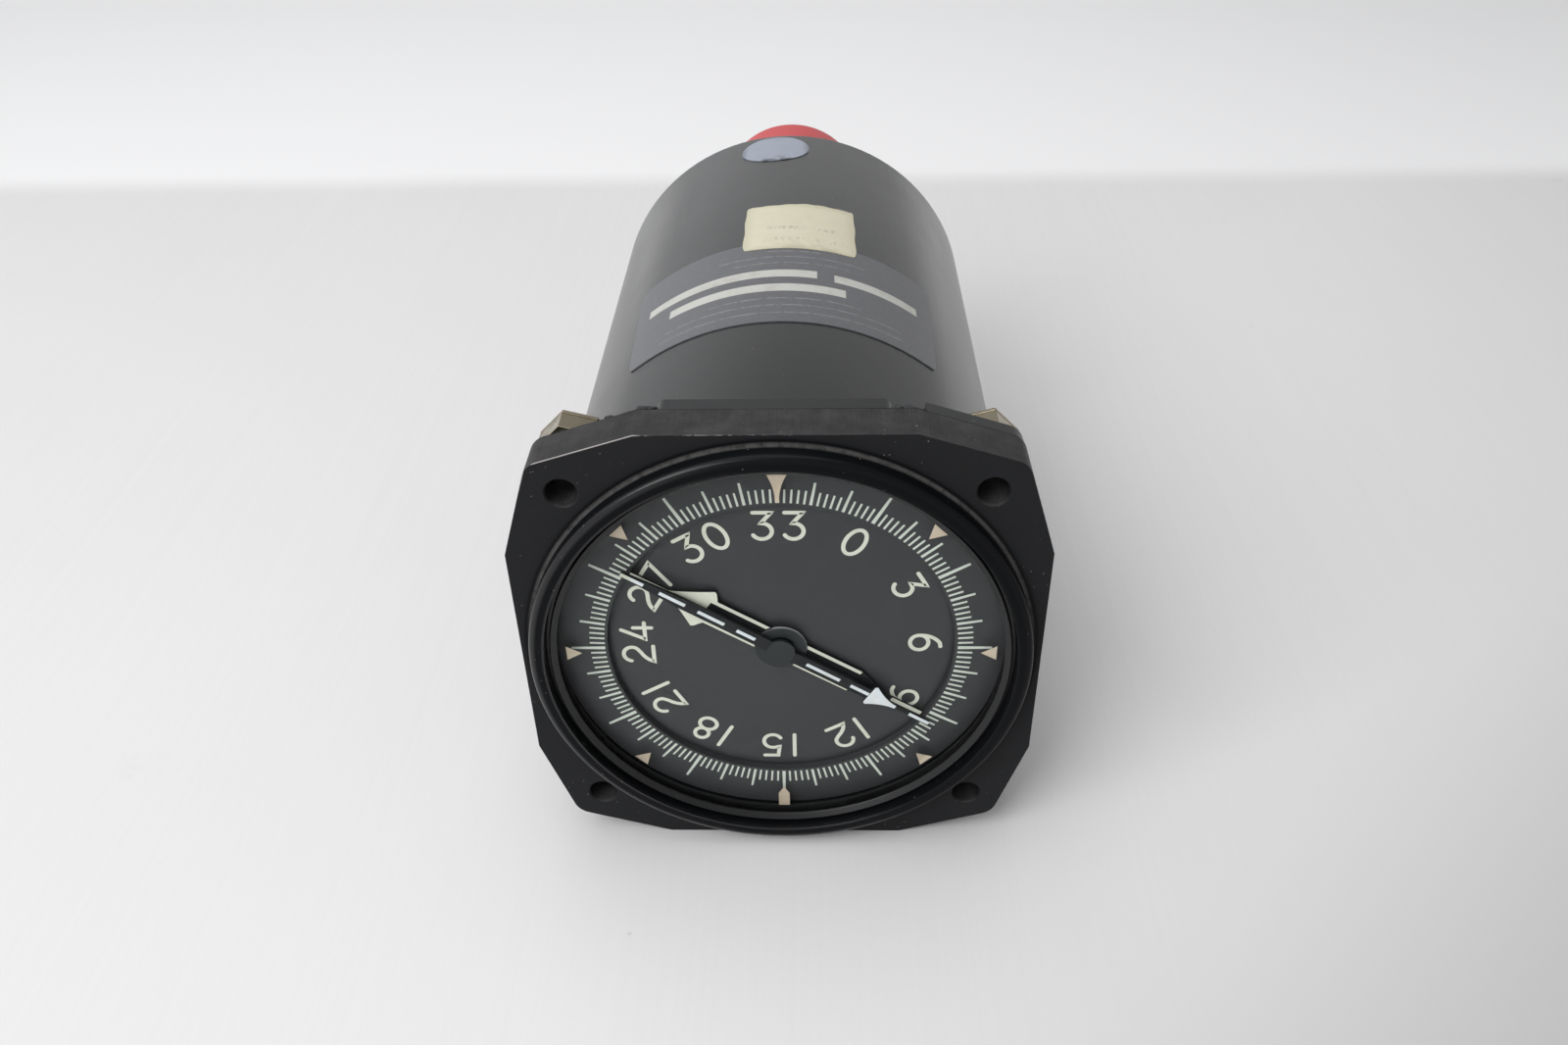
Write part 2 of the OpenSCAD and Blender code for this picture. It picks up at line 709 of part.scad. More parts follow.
// Rise of the barbs over the arrowhead's base, how far their corners are cut, the flanks' hollow
barb_rise = 0.45;
barb_cut = 0.3;
single_hollow = 1.75;
double_hollow = 1.15;
flank_steps = 8;

// An outline closed by its own mirror image across the pointer's middle line
module mirrored(half) {
    polygon([each half, each [for (i = [len(half) - 1 : -1 : 0]) [-half[i][0], half[i][1]]]]);
}

// Half widths along an arrowhead's hollow flank, from its tip back to its barb
function flank(tip, half, from, length, hollow) = [for (i = [flank_steps : -1 : 0])
    [tip + (half - tip) * pow(1 - i / flank_steps, hollow), from + length * i / flank_steps]];

module single_bar_pointer() color("#121314") difference() {
    union() {
        slab(y_single, blade_t) rotate(-single_dir) {
            w = single_w / 2;
            tip = tip_w / 2;
            mirrored([[tip, single_len],
                each flank(tip, single_head, single_base + barb_rise, single_head_len, single_hollow),
                [single_head - barb_cut, single_base], [w, single_base], [w, -single_waist],
                [tip, -single_len]]);
        }
        rod(y_single, blade_t, single_hub_d / 2);
    }
    hole(y_single, blade_t, single_neck_r);
}

module painted_bar(from, to) translate([-line_w / 2, from]) square([line_w, to - from]);

module single_bar_paint() color("#dfe6f0") slab(y_single - paint_t, paint_t) rotate(-single_dir) {
    for (d = head_dashes) painted_bar(d[0], d[1]);
    for (d = tail_dashes) painted_bar(-d[1], -d[0]);
    painted_bar(end_bar_start, single_len);
    painted_bar(-single_len, -end_bar_start);
    barb = single_head - paint_inset;
    mirrored([
        each flank(line_w / 2, barb, single_base + barb_rise, single_head_len, single_hollow),
        [barb - barb_cut, single_base + paint_inset]]);
}

module single_bar_hub() color("#1a1b1c") difference() {
    union() {
        rod(y_single - single_hub_rise, single_hub_rise, single_hub_d / 2);
        rod(y_single, blade_t + neck_back, single_neck_r);
    }
    rod(y_single, blade_t + neck_back + over, shaft_r);
}

module inner_shaft() color("#c9cbcd") rod(y_single, y_shaft_end - y_single, shaft_r);

// Double-bar pointer, behind, on the hollow shaft
tail_bar_len = 6;

module double_bar_pointer() color("#121314") difference() {
    slab(y_double, blade_t) rotate(-double_dir) {
        w = double_rail + line_w / 2 + paint_inset;
        tip = tip_w / 2;
        mirrored([[tip, double_len],
            each flank(tip, double_head, double_base + barb_rise, double_head_len, double_hollow),
            [double_head - barb_cut, double_base], [w, double_base - double_barb],
            [w, -double_tail], [tip, -double_tail - double_taper], [tip, -double_len]]);
    }
    hole(y_double, blade_t, sleeve_r);
}

// Where a bar's paint starts beside the hub, at a distance from the middle line
function bar_start(x) = sqrt(pow(double_hub_d / 2, 2) - x * x) + paint_inset;

module double_bar_paint() color("#e3e2cf") slab(y_double - paint_t, paint_t) rotate(-double_dir) {
    inner = double_rail - line_w / 2;
    outer = double_rail + line_w / 2;
    tip = tip_w / 2;
    barb = double_head - paint_inset;
    mirrored([[tip, double_len],
        each flank(tip, barb, double_base + barb_rise, double_head_len, double_hollow),
        [barb - barb_cut, double_base], [outer, double_base - double_barb],
        [outer, bar_start(outer)], [inner, bar_start(inner)], [inner, double_base]]);
    for (s = [-1, 1]) polygon([[s * inner, -bar_start(inner)], [s * outer, -bar_start(outer)],
        [s * outer, -double_tail], [s * inner, -double_tail]]);
    translate([-tip, -double_len]) square([tip_w, tail_bar_len]);
}

module double_bar_hub() color("#1a1b1c") turned([[sleeve_r, y_double], [double_hub_d / 2, y_double],
    [double_hub_d / 2, y_sleeve_front + chamfer], [double_hub_d / 2 - chamfer, y_sleeve_front],
    [sleeve_r, y_sleeve_front]]);

module hollow_shaft() color("#b9bbbd") {
    tube(y_sleeve_front, y_sleeve_end - y_sleeve_front, sleeve_r, sleeve_bore_r);
}

module sleeve_bushes() color("#a06a3a") for (y = [y_sleeve_front, y_sleeve_end - bush_len]) {
    tube(y, bush_len, sleeve_bore_r, shaft_r + run_gap);
}

// Frame: four round plates on tie rods, with spacer tubes between them
module rod_holes(y) for (a = rod_dirs) hole(y, plate_t, rod_r + rod_gap, polar(rod_orbit, a));

module bearing_plate() color("#9a9d9f") difference() {
    union() {
        rod(y_spigot, plate_t, plate_r);
        rod(y_bearing - boss_lead, y_spigot - y_bearing + boss_lead, boss_r);
    }
    rod(y_bearing - boss_lead - over, bearing_w + boss_lead + over, bearing_od / 2);
    rod(y_bearing, bearing_w + lip_t + over, bearing_od / 2 - race_t + lip_clear);
    hole(y_spigot, plate_t, bush_r, intermediate_at);
    rod_holes(y_spigot);
    plate_screw_cuts();
}

// One of the three plain plates, with the round cut that a pilot fits
module frame_plate(y) color("#9a9d9f") difference() {
    rod(y, plate_t, plate_r);
    hole(y, plate_t, pilot_r);
    rod_holes(y);
}

module gear_plate() difference() {
    frame_plate(y_gear_plate);
    hole(y_gear_plate, plate_t, bush_r, intermediate_at);
    for (at = [transformer_at, motor_at]) hole(y_gear_plate, plate_t, small_pilot_r, at);
}

module middle_plate() difference() {
    frame_plate(y_middle);
    hole(y_middle, plate_t, small_d / 2 + frame_gap, motor_at);
}

module rear_plate() frame_plate(y_rear_plate);

module plate_screws() color("#8c8c88") for (a = screw_dirs) {
    at = polar(screw_orbit, a);
    rod(y_spigot - plate_screw_depth, plate_t + plate_screw_depth, plate_screw_d / 2, at);
    screw_head(y_bay, head_h, plate_screw_head_d / 2, at);
}

module tie_rods() color("#a9abad") for (a = rod_dirs) {
    at = polar(rod_orbit, a);
    rod(y_spigot, y_board_back + rod_end - y_spigot, rod_r, at);
    screw_head(y_spigot - head_h, head_h, rod_head_d / 2, at, back = false);
}

module tie_rod_nuts() color("#a9abad") for (a = rod_dirs) difference() {
    at = polar(rod_orbit, a);
    translate([at[0], y_board_back, at[1]]) rotate([-90, 0, 0])
        cylinder(h = rod_nut_h, r = spacer_d / 2, $fn = 6);
    hole(y_board_back, rod_nut_h, rod_r, at);
}

module spacer_tubes() color("#b5a36a") for (a = rod_dirs) {
    for (run = [[y_bay, y_gear_plate], [y_synchro, y_middle], [y_rear_synchro, y_rear_plate],
        [y_rear_plate_back, y_board]]) {
        tube(run[0], run[1] - run[0], spacer_d / 2, rod_r + rod_gap, polar(rod_orbit, a));
    }
}

// Synchros: a drawn housing with a pilot at each end, a slotted stator and a wound rotor
end_wall = 2;
end_turn = 3;
end_turn_step = 1;
stator_clear = 3;
stator_slot_r = 0.8;
iron_inset = stator_clear + end_turn;
coil_half = 4.8;
coil_clear = 0.3;
collar_wall = 1;
slip_ring_wall = 1.5;
slip_ring_w = 0.5;
slip_ring_gap = 0.4;
bush_clear = 0.7;
synchro_bush_wall = 1.2;
synchro_bush_r = sleeve_r + synchro_bush_wall;
synchro_rotor_r = synchro_d / 2 - shell_wall - stator_t - air_gap;

module round_housing(y, len, r, shaft, pilot, front, rear, at = [0, 0]) difference() {
    union() {
        rod(y, len, r, at);
        rod(y - front, len + front + rear, pilot, at);
    }
    rod(y + end_wall, len - 2 * end_wall, r - shell_wall, at);
    hole(y - front, len + front + rear, shaft, at);
}

module stator(y, len, r) difference() {
    bore = r - stator_t;
    union() {
        tube(y + stator_clear, len - 2 * stator_clear, r - end_turn_step, bore + end_turn_step);
        tube(y + iron_inset, len - 2 * iron_inset, r, bore);
    }
    for (i = [0 : stator_slots - 1])
        rod(y, len, stator_slot_r, polar(bore, 360 * i / stator_slots));
}

module rotor(y, len, r, shaft) difference() {
    start = y + iron_inset;
    window = coil_half + coil_clear;
    rings = 2 * (slip_ring_w + slip_ring_gap);
    run = len - iron_inset - coil_t - rings - bush_clear - bush_len;
    union() {
        difference() {
            rod(start, run, r);
            for (s = [-1, 1]) translate([s * (neck_half + r) - r, start - over, -window])
                cube([2 * r, run + 2 * over, 2 * window]);
        }
        // Coil wound round the neck of the iron
        translate([-neck_half - coil_t, start - coil_t, -coil_half])
            cube([2 * (neck_half + coil_t), run + 2 * coil_t, 2 * coil_half]);
        // Slip rings on their insulating collar
        rod(start + run, coil_t + rings, shaft + collar_wall);
        for (i = [0 : 1])
            rod(start + run + coil_t + i * (slip_ring_w + slip_ring_gap) + slip_ring_gap, slip_ring_w,
                shaft + slip_ring_wall);
    }
    rod(y, len, shaft);
}

module front_synchro_housing() color("#8d9092") {
    round_housing(y_synchro, synchro_len, synchro_d / 2, synchro_bush_r, pilot_r,
        plate_t, plate_t / 2);
}

module rear_synchro_housing() color("#8d9092") {
    round_housing(y_rear_synchro, synchro_len, synchro_d / 2, synchro_bush_r, pilot_r,
        plate_t / 2, plate_t);
}

module front_synchro_stator() color("#8a4a2a") {
    stator(y_synchro, synchro_len, synchro_d / 2 - shell_wall);
}

module rear_synchro_stator() color("#8a4a2a") {
    stator(y_rear_synchro, synchro_len, synchro_d / 2 - shell_wall);
}

module front_rotor() color("#6f4a30") rotor(y_synchro, synchro_len, synchro_rotor_r, sleeve_r);

module rear_rotor() color("#6f4a30") rotor(y_rear_synchro, synchro_len, synchro_rotor_r, shaft_r);

module synchro_bushes() color("#a06a3a") {
    for (y = [y_gear_plate, y_middle - bush_len])
        tube(y, bush_len, synchro_bush_r, sleeve_r + run_gap);
    for (y = [y_rear_synchro, y_rear_plate_back - bush_len])
        tube(y, bush_len, synchro_bush_r, shaft_r + run_gap);
}

// Heading transformer, card motor and the intermediate pair between motor and card
shaft_lead = 0.5;
rotor_clear = 1;
winding_t = 2.8;
small_bore_r = arbor_r + run_gap;
small_rotor_r = small_d / 2 - shell_wall - air_gap;
y_pinion = y_card_gear - pinion_extra / 2;
y_motor_pinion = y_wheel - pinion_extra / 2;

module small_housing(len, at) {
    round_housing(y_synchro, len, small_d / 2, small_bore_r, small_pilot_r, plate_t, 0, at);
}

module transformer_housing() color("#8d9092") small_housing(transformer_len, transformer_at);

module motor_housing() color("#77797b") small_housing(motor_len, motor_at);

// Shaft from depth y with a plain wound rotor on it, inside one of the small housings
module small_rotor(y, len, at) {
    coils = end_wall + rotor_clear;
    iron = end_wall + end_turn;
    rod(y, y_synchro + len - end_wall - y, arbor_r, at);
    rod(y_synchro + coils, len - 2 * coils, small_rotor_r - winding_t, at);
    rod(y_synchro + iron, len - 2 * iron, small_rotor_r, at);
}

module transformer_rotor() color("#6f4a30") {
    small_rotor(y_card_gear - shaft_lead, transformer_len, transformer_at);
}

module transformer_gear() color("#b08d3e") {
    gear(y_card_gear, gear_t, card_teeth, arbor_r, transformer_at, transformer_dir + 180, true);
    tube(y_card_gear + gear_t, gear_gap, 2 * arbor_r, arbor_r, transformer_at);
}

module motor_rotor() color("#8a8c8e") {
    small_rotor(y_motor_pinion - shaft_lead, motor_len, motor_at);
    slab(y_motor_pinion, gear_t + pinion_extra) translate(motor_at)
        rotate(motor_line_dir + 180 + 180 / motor_teeth) gear_outline(motor_teeth);
}

module intermediate_pinion() color("#c9cbcd") {
    rod(y_spigot, y_synchro - y_spigot, arbor_r, intermediate_at);
    slab(y_pinion, gear_t + pinion_extra) translate(intermediate_at)
        rotate(intermediate_dir + 180 + 180 / pinion_teeth) gear_outline(pinion_teeth);
}

module intermediate_wheel() color("#b08d3e") {
    gear(y_wheel, gear_t, wheel_teeth, arbor_r, intermediate_at, motor_line_dir);
    tube(y_wheel + gear_t, gear_gap, 2 * arbor_r, arbor_r, intermediate_at);
}

module arbor_bushes() color("#a06a3a") for (y = [y_spigot, y_gear_plate]) {
    tube(y, plate_t, bush_r, arbor_r + run_gap, intermediate_at);
}

// Servo amplifier on its board behind the rear plate
transistor_z = -20;
transistor_pitch = transistor_d + 3.4;
transistor_rim = 0.5;
capacitor_x = 21;
capacitor_z = 2;
core_z = 9;
core_h = 12;
coil_rim = 4.5;
resistor_pitch = 3.4;
resistor_len = 7;
resistor_r = 1.1;
resistor_z = -12;

module amplifier_board() color("#3f5a3a") difference() {
    rod(y_board, board_t, board_d / 2);
    for (a = rod_dirs) hole(y_board, board_t, rod_r + rod_gap, polar(rod_orbit, a));
    hole(y_board, board_t, pilot_r);
}

module board_components() {
    for (i = [-1.5 : 1.5]) color("#b8babb") {
        at = [i * transistor_pitch, transistor_z];
        rod(y_board_back, transistor_rim, transistor_d / 2 + transistor_rim, at);
        rod(y_board_back + transistor_rim, transistor_h, transistor_d / 2, at);
    }
    for (s = [-1, 1]) color("#7a6a3a") {
        translate([s * capacitor_x - capacitor_len / 2, y_board_back + capacitor_d / 2, capacitor_z])
            rotate([0, 90, 0]) cylinder(h = capacitor_len, r = capacitor_d / 2);
    }
    // Output transformer: a square core round a drum-shaped coil
    color("#55504a") translate([0, y_board_back, core_z]) {
        difference() {
            translate([-core_w / 2, 0, 0]) cube([core_w, core_h, core_w]);
            translate([-core_w, core_h / 3, core_w / 4]) cube([2 * core_w, core_h, core_w / 2]);
        }
        translate([0, 0, core_w / 4]) rod(0, core_h - 1, coil_rim, [0, core_w / 4]);
    }
    for (i = [-3 : 3]) color("#b07a4a") {
        translate([i * resistor_pitch, y_board_back + resistor_r, resistor_z])
            cylinder(h = resistor_len, r = resistor_r);
    }
}

// Connector in the back of the case, with its pins, screws and push-on dust cap
plug_at = [0, plug_z];
plug_screw_r = plug_screw_d / 2;
plug_screw_tail = 1.5;

module plug_screw_places() {
    for (x = [-1, 1]) for (z = [-1, 1])
        translate([x * plug_screw_spacing / 2, 0, plug_z + z * plug_screw_spacing / 2]) children();
}

module connector_shell() color("#8c9080") difference() {
    union() {
        rod(y_shell_start, y_shell_end - y_shell_start, shell_r, plug_at);
        intersection() {
            translate([-plug_flange_w / 2, y_plug_flange, plug_z - plug_flange_w / 2])
                cube([plug_flange_w, plug_flange_t, plug_flange_w]);
            rod(y_plug_flange, plug_flange_t, plug_screw_spacing / sqrt(2) + plug_flange_rim, plug_at);
        }
    }
    hole(y_shell_start, y_shell_end - y_shell_start, shell_bore_r, plug_at);
    plug_screw_places() hole(y_plug_flange, plug_flange_t, plug_screw_r);
}

// Two rings of pins and one in the middle
module at_pins() {
    for (ring = [[outer_pins, outer_ring_inset], [inner_pins, inner_ring_inset]])
        for (i = [0 : ring[0] - 1]) {
            p = polar(shell_bore_r - ring[1], 360 * i / ring[0]);
            translate([p[0], 0, p[1]]) children();
        }
    children();
}

module connector_insert() color("#2b2c2a") difference() {
    rod(y_shell_start, insert_len, shell_bore_r, plug_at);
    translate([0, 0, plug_z]) at_pins() hole(y_shell_start, insert_len, pin_d / 2);
}

module connector_pins() color("#c9a24a") translate([0, 0, plug_z]) at_pins() {
    tip = pin_d / 2;
    rod(y_shell_start - pin_tail, insert_len + pin_reach + pin_tail - tip, tip);
    translate([0, y_insert_end + pin_reach - tip, 0]) sphere(r = tip, $fn = 24);
}

module connector_screws() color("#8c8c88") plug_screw_places() {
    rod(y_plug_flange - plug_screw_tail, case_len - y_plug_flange + plug_screw_tail, plug_screw_r);
    screw_head(case_len, head_h, plug_screw_head_d / 2);
}

module dust_cap() color("#d8323a") difference() {
    turned([[0, case_len + cap_lift], [cap_r, case_len + cap_lift],
        [cap_r, y_cap_floor + cap_wall / 2],
        [cap_r - cap_wall / 2, y_cap_floor + cap_wall], [0, y_cap_floor + cap_wall]], plug_at);
    rod(case_len, y_cap_floor - case_len, cap_bore_r, plug_at);
}

// Case: a deep can, its flange plate with four hexagonal nuts, and what is stuck on it
module case_can() color("#4c4e50") difference() {
    turned([[0, flange_t], [bezel_r, flange_t], each [for (p = arc(case_edge_r, 0, 90, 5))
        [bezel_r - case_edge_r + p[0], case_len - case_edge_r + p[1]]], [0, case_len]]);
    rod(flange_t - over, y_can_wall - flange_t + over, can_r);
    hole(y_can_wall, case_wall, shell_r, plug_at);
    plug_screw_places() hole(y_can_wall, case_wall, plug_screw_r);
}

tab_round = 1.2;
tab_left = 17.6;
tab_right = 16.8;
tab_steps = 4;
ear_start = 21.8;
ear_lift = 0.15;

module case_flange() color("#26282a") difference() {
    union() {
        slab(flange_t, case_flange_t) flange_outline(case_flange_inset);
        for (q = [0 : 3]) slab(flange_t, case_flange_t) rotate(90 * q) {
            polygon([[-tab_left, 0],
                each [for (p = arc(tab_round, 180, 90, tab_steps))
                    [p[0] - tab_left + tab_round, p[1] + flange_r - tab_round]],
                each [for (p = arc(tab_round, 90, 0, tab_steps))
                    [p[0] + tab_right - tab_round, p[1] + flange_r - tab_round]],
                [tab_right, 0]]);
        }
        // Ear along the upper right slant, up to the corner
        slab(flange_t, case_flange_t) difference() {
            flange_outline(ear_lift);
            translate([-2 * flange_r + ear_start, -2 * flange_r]) square([2 * flange_r, 4 * flange_r]);
            rotate(-45) translate([-flange_r, -2 * flange_r]) square([4 * flange_r, 2 * flange_r]);
        }
    }
    hole(flange_t, case_flange_t, bezel_r);
    at_panel_holes() hole(flange_t, case_flange_t, hole_r);
}

nut_groove_at = 0.8;
nut_groove_depth = 0.3;

module panel_nuts() color("#8f7f4f") for (c = [0 : 3]) {
    a = 45 + 90 * c;
    at = polar(hole_spacing / sqrt(2), a);
    nut_r = nut_af / 2 / cos(30);
    groove = nut_groove_at * nut_h;
    difference() {
        translate([at[0], y_case_flange_back, at[1]]) rotate([90, 0, 0]) rotate(a - 30) mirror([0, 0, 1]) {
            cylinder(h = groove, r = nut_r, $fn = 6);
            cylinder(h = nut_h, r = nut_r - nut_groove_depth, $fn = 6);
            translate([0, 0, groove + nut_groove_w])
                cylinder(h = nut_h - groove - nut_groove_w, r = nut_r, $fn = 6);
        }
        hole(y_case_flange_back, nut_h, nut_bore / 2, at);
    }
}

// Part of a thin ring on the case, between two angles clockwise from the top
module wrapped(points, from, to) intersection() {
    reach = 2 * bezel_r;
    turned(points);
    slab(0, case_len) polygon([[0, 0], each [for (i = [0 : 4]) dial(reach, from + (to - from) * i / 4)]]);
}

data_plate_r = bezel_r + data_plate_t;
y_data_plate_end = data_plate_y + data_plate_len;
label_r = data_plate_r + paper_t;
label_turn = 4.2;
sticker_turn = -4.3;
sticker_lead = 0.5;

module data_plate() color("#5a5d60") wrapped([[bezel_r, data_plate_y], [data_plate_r, data_plate_y],
    [data_plate_r, y_data_plate_end], [bezel_r, y_data_plate_end]],
    -data_plate_arc / 2, data_plate_arc / 2);

module labels() {
    y = y_data_plate_end - label_lap;
    color("#d9d5bd") wrapped([[data_plate_r, y], [label_r, y], [label_r, y + label_len],
        [bezel_r, y + label_len], [bezel_r, y_data_plate_end], [data_plate_r, y_data_plate_end]],
        label_turn - label_arc / 2, label_turn + label_arc / 2);
    color("#c5cbdc") intersection() {
        tube(case_len / 2, case_len, bezel_r + paper_t, bezel_r);
        rotate([0, sticker_turn, 0])
            translate([0, case_len - case_edge_r - sticker_lead - sticker_d / 2, bezel_r / 2])
            cylinder(h = bezel_r, r = sticker_d / 2);
    }
}

mounting_flange();
retaining_ring();
window_glass();
glass_seal();
index_marks();
card_disc();
graduated_ring();
card_graduations();
card_hub();
card_screws();
card_gear();
hub_bush();
bearing_inner_race();
bearing_outer_race();
bearing_balls();
single_bar_pointer();
single_bar_paint();
single_bar_hub();
inner_shaft();
sleeve_bushes();
rear_rotor();
double_bar_pointer();
double_bar_paint();
double_bar_hub();
hollow_shaft();
front_rotor();
bearing_plate();
gear_plate();
middle_plate();
rear_plate();
plate_screws();
tie_rods();
tie_rod_nuts();
spacer_tubes();
front_synchro_housing();
front_synchro_stator();
rear_synchro_housing();
rear_synchro_stator();
synchro_bushes();
transformer_housing();
transformer_rotor();
transformer_gear();
motor_housing();
motor_rotor();
intermediate_pinion();
intermediate_wheel();
arbor_bushes();
amplifier_board();
board_components();
connector_shell();
connector_insert();
connector_pins();
connector_screws();
case_can();
case_flange();
panel_nuts();
data_plate();
labels();
dust_cap();
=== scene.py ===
import logging
import math
from dataclasses import dataclass
from enum import Enum
from functools import cache, reduce
from typing import Callable

import bmesh
import bpy
import numpy as np
from mathutils import Matrix, Vector


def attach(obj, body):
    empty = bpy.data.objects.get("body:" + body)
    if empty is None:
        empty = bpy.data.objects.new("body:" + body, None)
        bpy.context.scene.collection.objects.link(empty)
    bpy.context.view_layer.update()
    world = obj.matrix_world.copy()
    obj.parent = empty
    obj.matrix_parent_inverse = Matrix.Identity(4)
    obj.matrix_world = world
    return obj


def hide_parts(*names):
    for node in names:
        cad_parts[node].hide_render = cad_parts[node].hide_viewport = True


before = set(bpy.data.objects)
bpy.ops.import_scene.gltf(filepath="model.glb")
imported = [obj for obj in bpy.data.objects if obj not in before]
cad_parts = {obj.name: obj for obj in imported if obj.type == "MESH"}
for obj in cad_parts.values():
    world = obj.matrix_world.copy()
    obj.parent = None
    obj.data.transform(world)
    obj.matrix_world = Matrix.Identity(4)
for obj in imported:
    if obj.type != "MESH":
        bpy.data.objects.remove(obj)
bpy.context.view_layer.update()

UV_MAP = "plate"
LOG = logging.getLogger("indicator")
MM = 0.001
Colour = tuple[float, float, float]
Grid = np.ndarray

# In metres: half the flange's width, the bezel's outer radius and the depth of the casting's back
HALF_FLANGE = 0.041275
BEZEL = 0.0396
CASTING_BACK = 0.0073
# In metres: what a full bump of sprayed paint, of screened paint and of bare metal stands for
PAINT_BUMP = 0.00002
PRINT_BUMP = 0.000012
METAL_BUMP = 0.000012
# In metres: where the painted highlight on a hub's rubbed rim starts and is whole, along x + z, and
# its two edges
RIM_HIGHLIGHT_START, RIM_HIGHLIGHT_FULL = 0.0022, 0.0034
RIM_HIGHLIGHT_WIDTH = (0.00016, 0.00006)
DUST = (0.42, 0.41, 0.39)
# Half the width of a printed rule, in millimetres
RULE = 0.14
# In metres: points closer than this are one, on a made mesh and on a CAD node's copy
MERGE, MERGE_CAD = 1e-7, 2e-6
# In degrees: edges sharper than this stay sharp, on a made mesh and on a CAD node's copy
SHARP, SHARP_CAD = 35, 32
# In degrees: faces of a CAD node that turn less than this are one face
FLAT = 0.6


def tone(code: str) -> Colour:
    """Linear colour of a hex code such as "3f4244".

    Args:
        code: Six hex digits, as seen on a screen.

    Returns:
        Red, green and blue from 0 to 1, linear.
    """
    seen = [int(code[i:i + 2], 16) / 255 for i in (0, 2, 4)]
    return tuple(c / 12.92 if c <= 0.04045 else ((c + 0.055) / 1.055) ** 2.4 for c in seen)


BRASS, BRONZE, STEEL = tone("c4a45c"), tone("b07a48"), tone("c2c4c6")


class Value:
    """A number that varies over a surface: a shader socket that takes Python's operators."""

    def __init__(self, sheet: "Sheet", socket: bpy.types.NodeSocket) -> None:
        """Wraps a socket of a material's node tree."""
        self.sheet = sheet
        self.socket = socket

    def _maths(self, operation: str, *values: "Value | float") -> "Value":
        """Adds one Math node.

        Args:
            operation: What the node works out.
            values: Its inputs, in order.

        Returns:
            The result.
        """
        node = self.sheet.node("ShaderNodeMath", {"operation": operation},
                               dict(enumerate(values)))
        return Value(self.sheet, node.outputs[0])

    def __add__(self, other: "Value | float") -> "Value":
        """Sum."""
        return self._maths("ADD", self, other)

    __radd__ = __add__

    def __sub__(self, other: "Value | float") -> "Value":
        """Difference."""
        return self._maths("SUBTRACT", self, other)

    def __rsub__(self, other: float) -> "Value":
        """Difference from a plain number."""
        return self._maths("SUBTRACT", other, self)

    def __mul__(self, other: "Value | float") -> "Value":
        """Product."""
        return self._maths("MULTIPLY", self, other)

    __rmul__ = __mul__

    def __pow__(self, other: float) -> "Value":
        """Power."""
        return self._maths("POWER", self, other)

    def __abs__(self) -> "Value":
        """Distance from zero."""
        return self._maths("ABSOLUTE", self)

    def least(self, other: "Value | float") -> "Value":
        """The smaller of the two."""
        return self._maths("MINIMUM", self, other)

    def most(self, other: "Value | float") -> "Value":
        """The larger of the two."""
        return self._maths("MAXIMUM", self, other)

    def sine(self) -> "Value":
        """Sine of an angle in radians."""
        return self._maths("SINE", self)

    def rise(self, low: float, high: float) -> "Value":
        """A smooth rise from 0 to 1, or a fall where high is the smaller.

        Args:
            low: Where it is 0.
            high: Where it is 1.

        Returns:
            The share.
        """
        node = self.sheet.node("ShaderNodeMapRange", {"interpolation_type": "SMOOTHSTEP"},
                               {"Value": self, "From Min": low, "From Max": high})
        return Value(self.sheet, node.outputs[0])


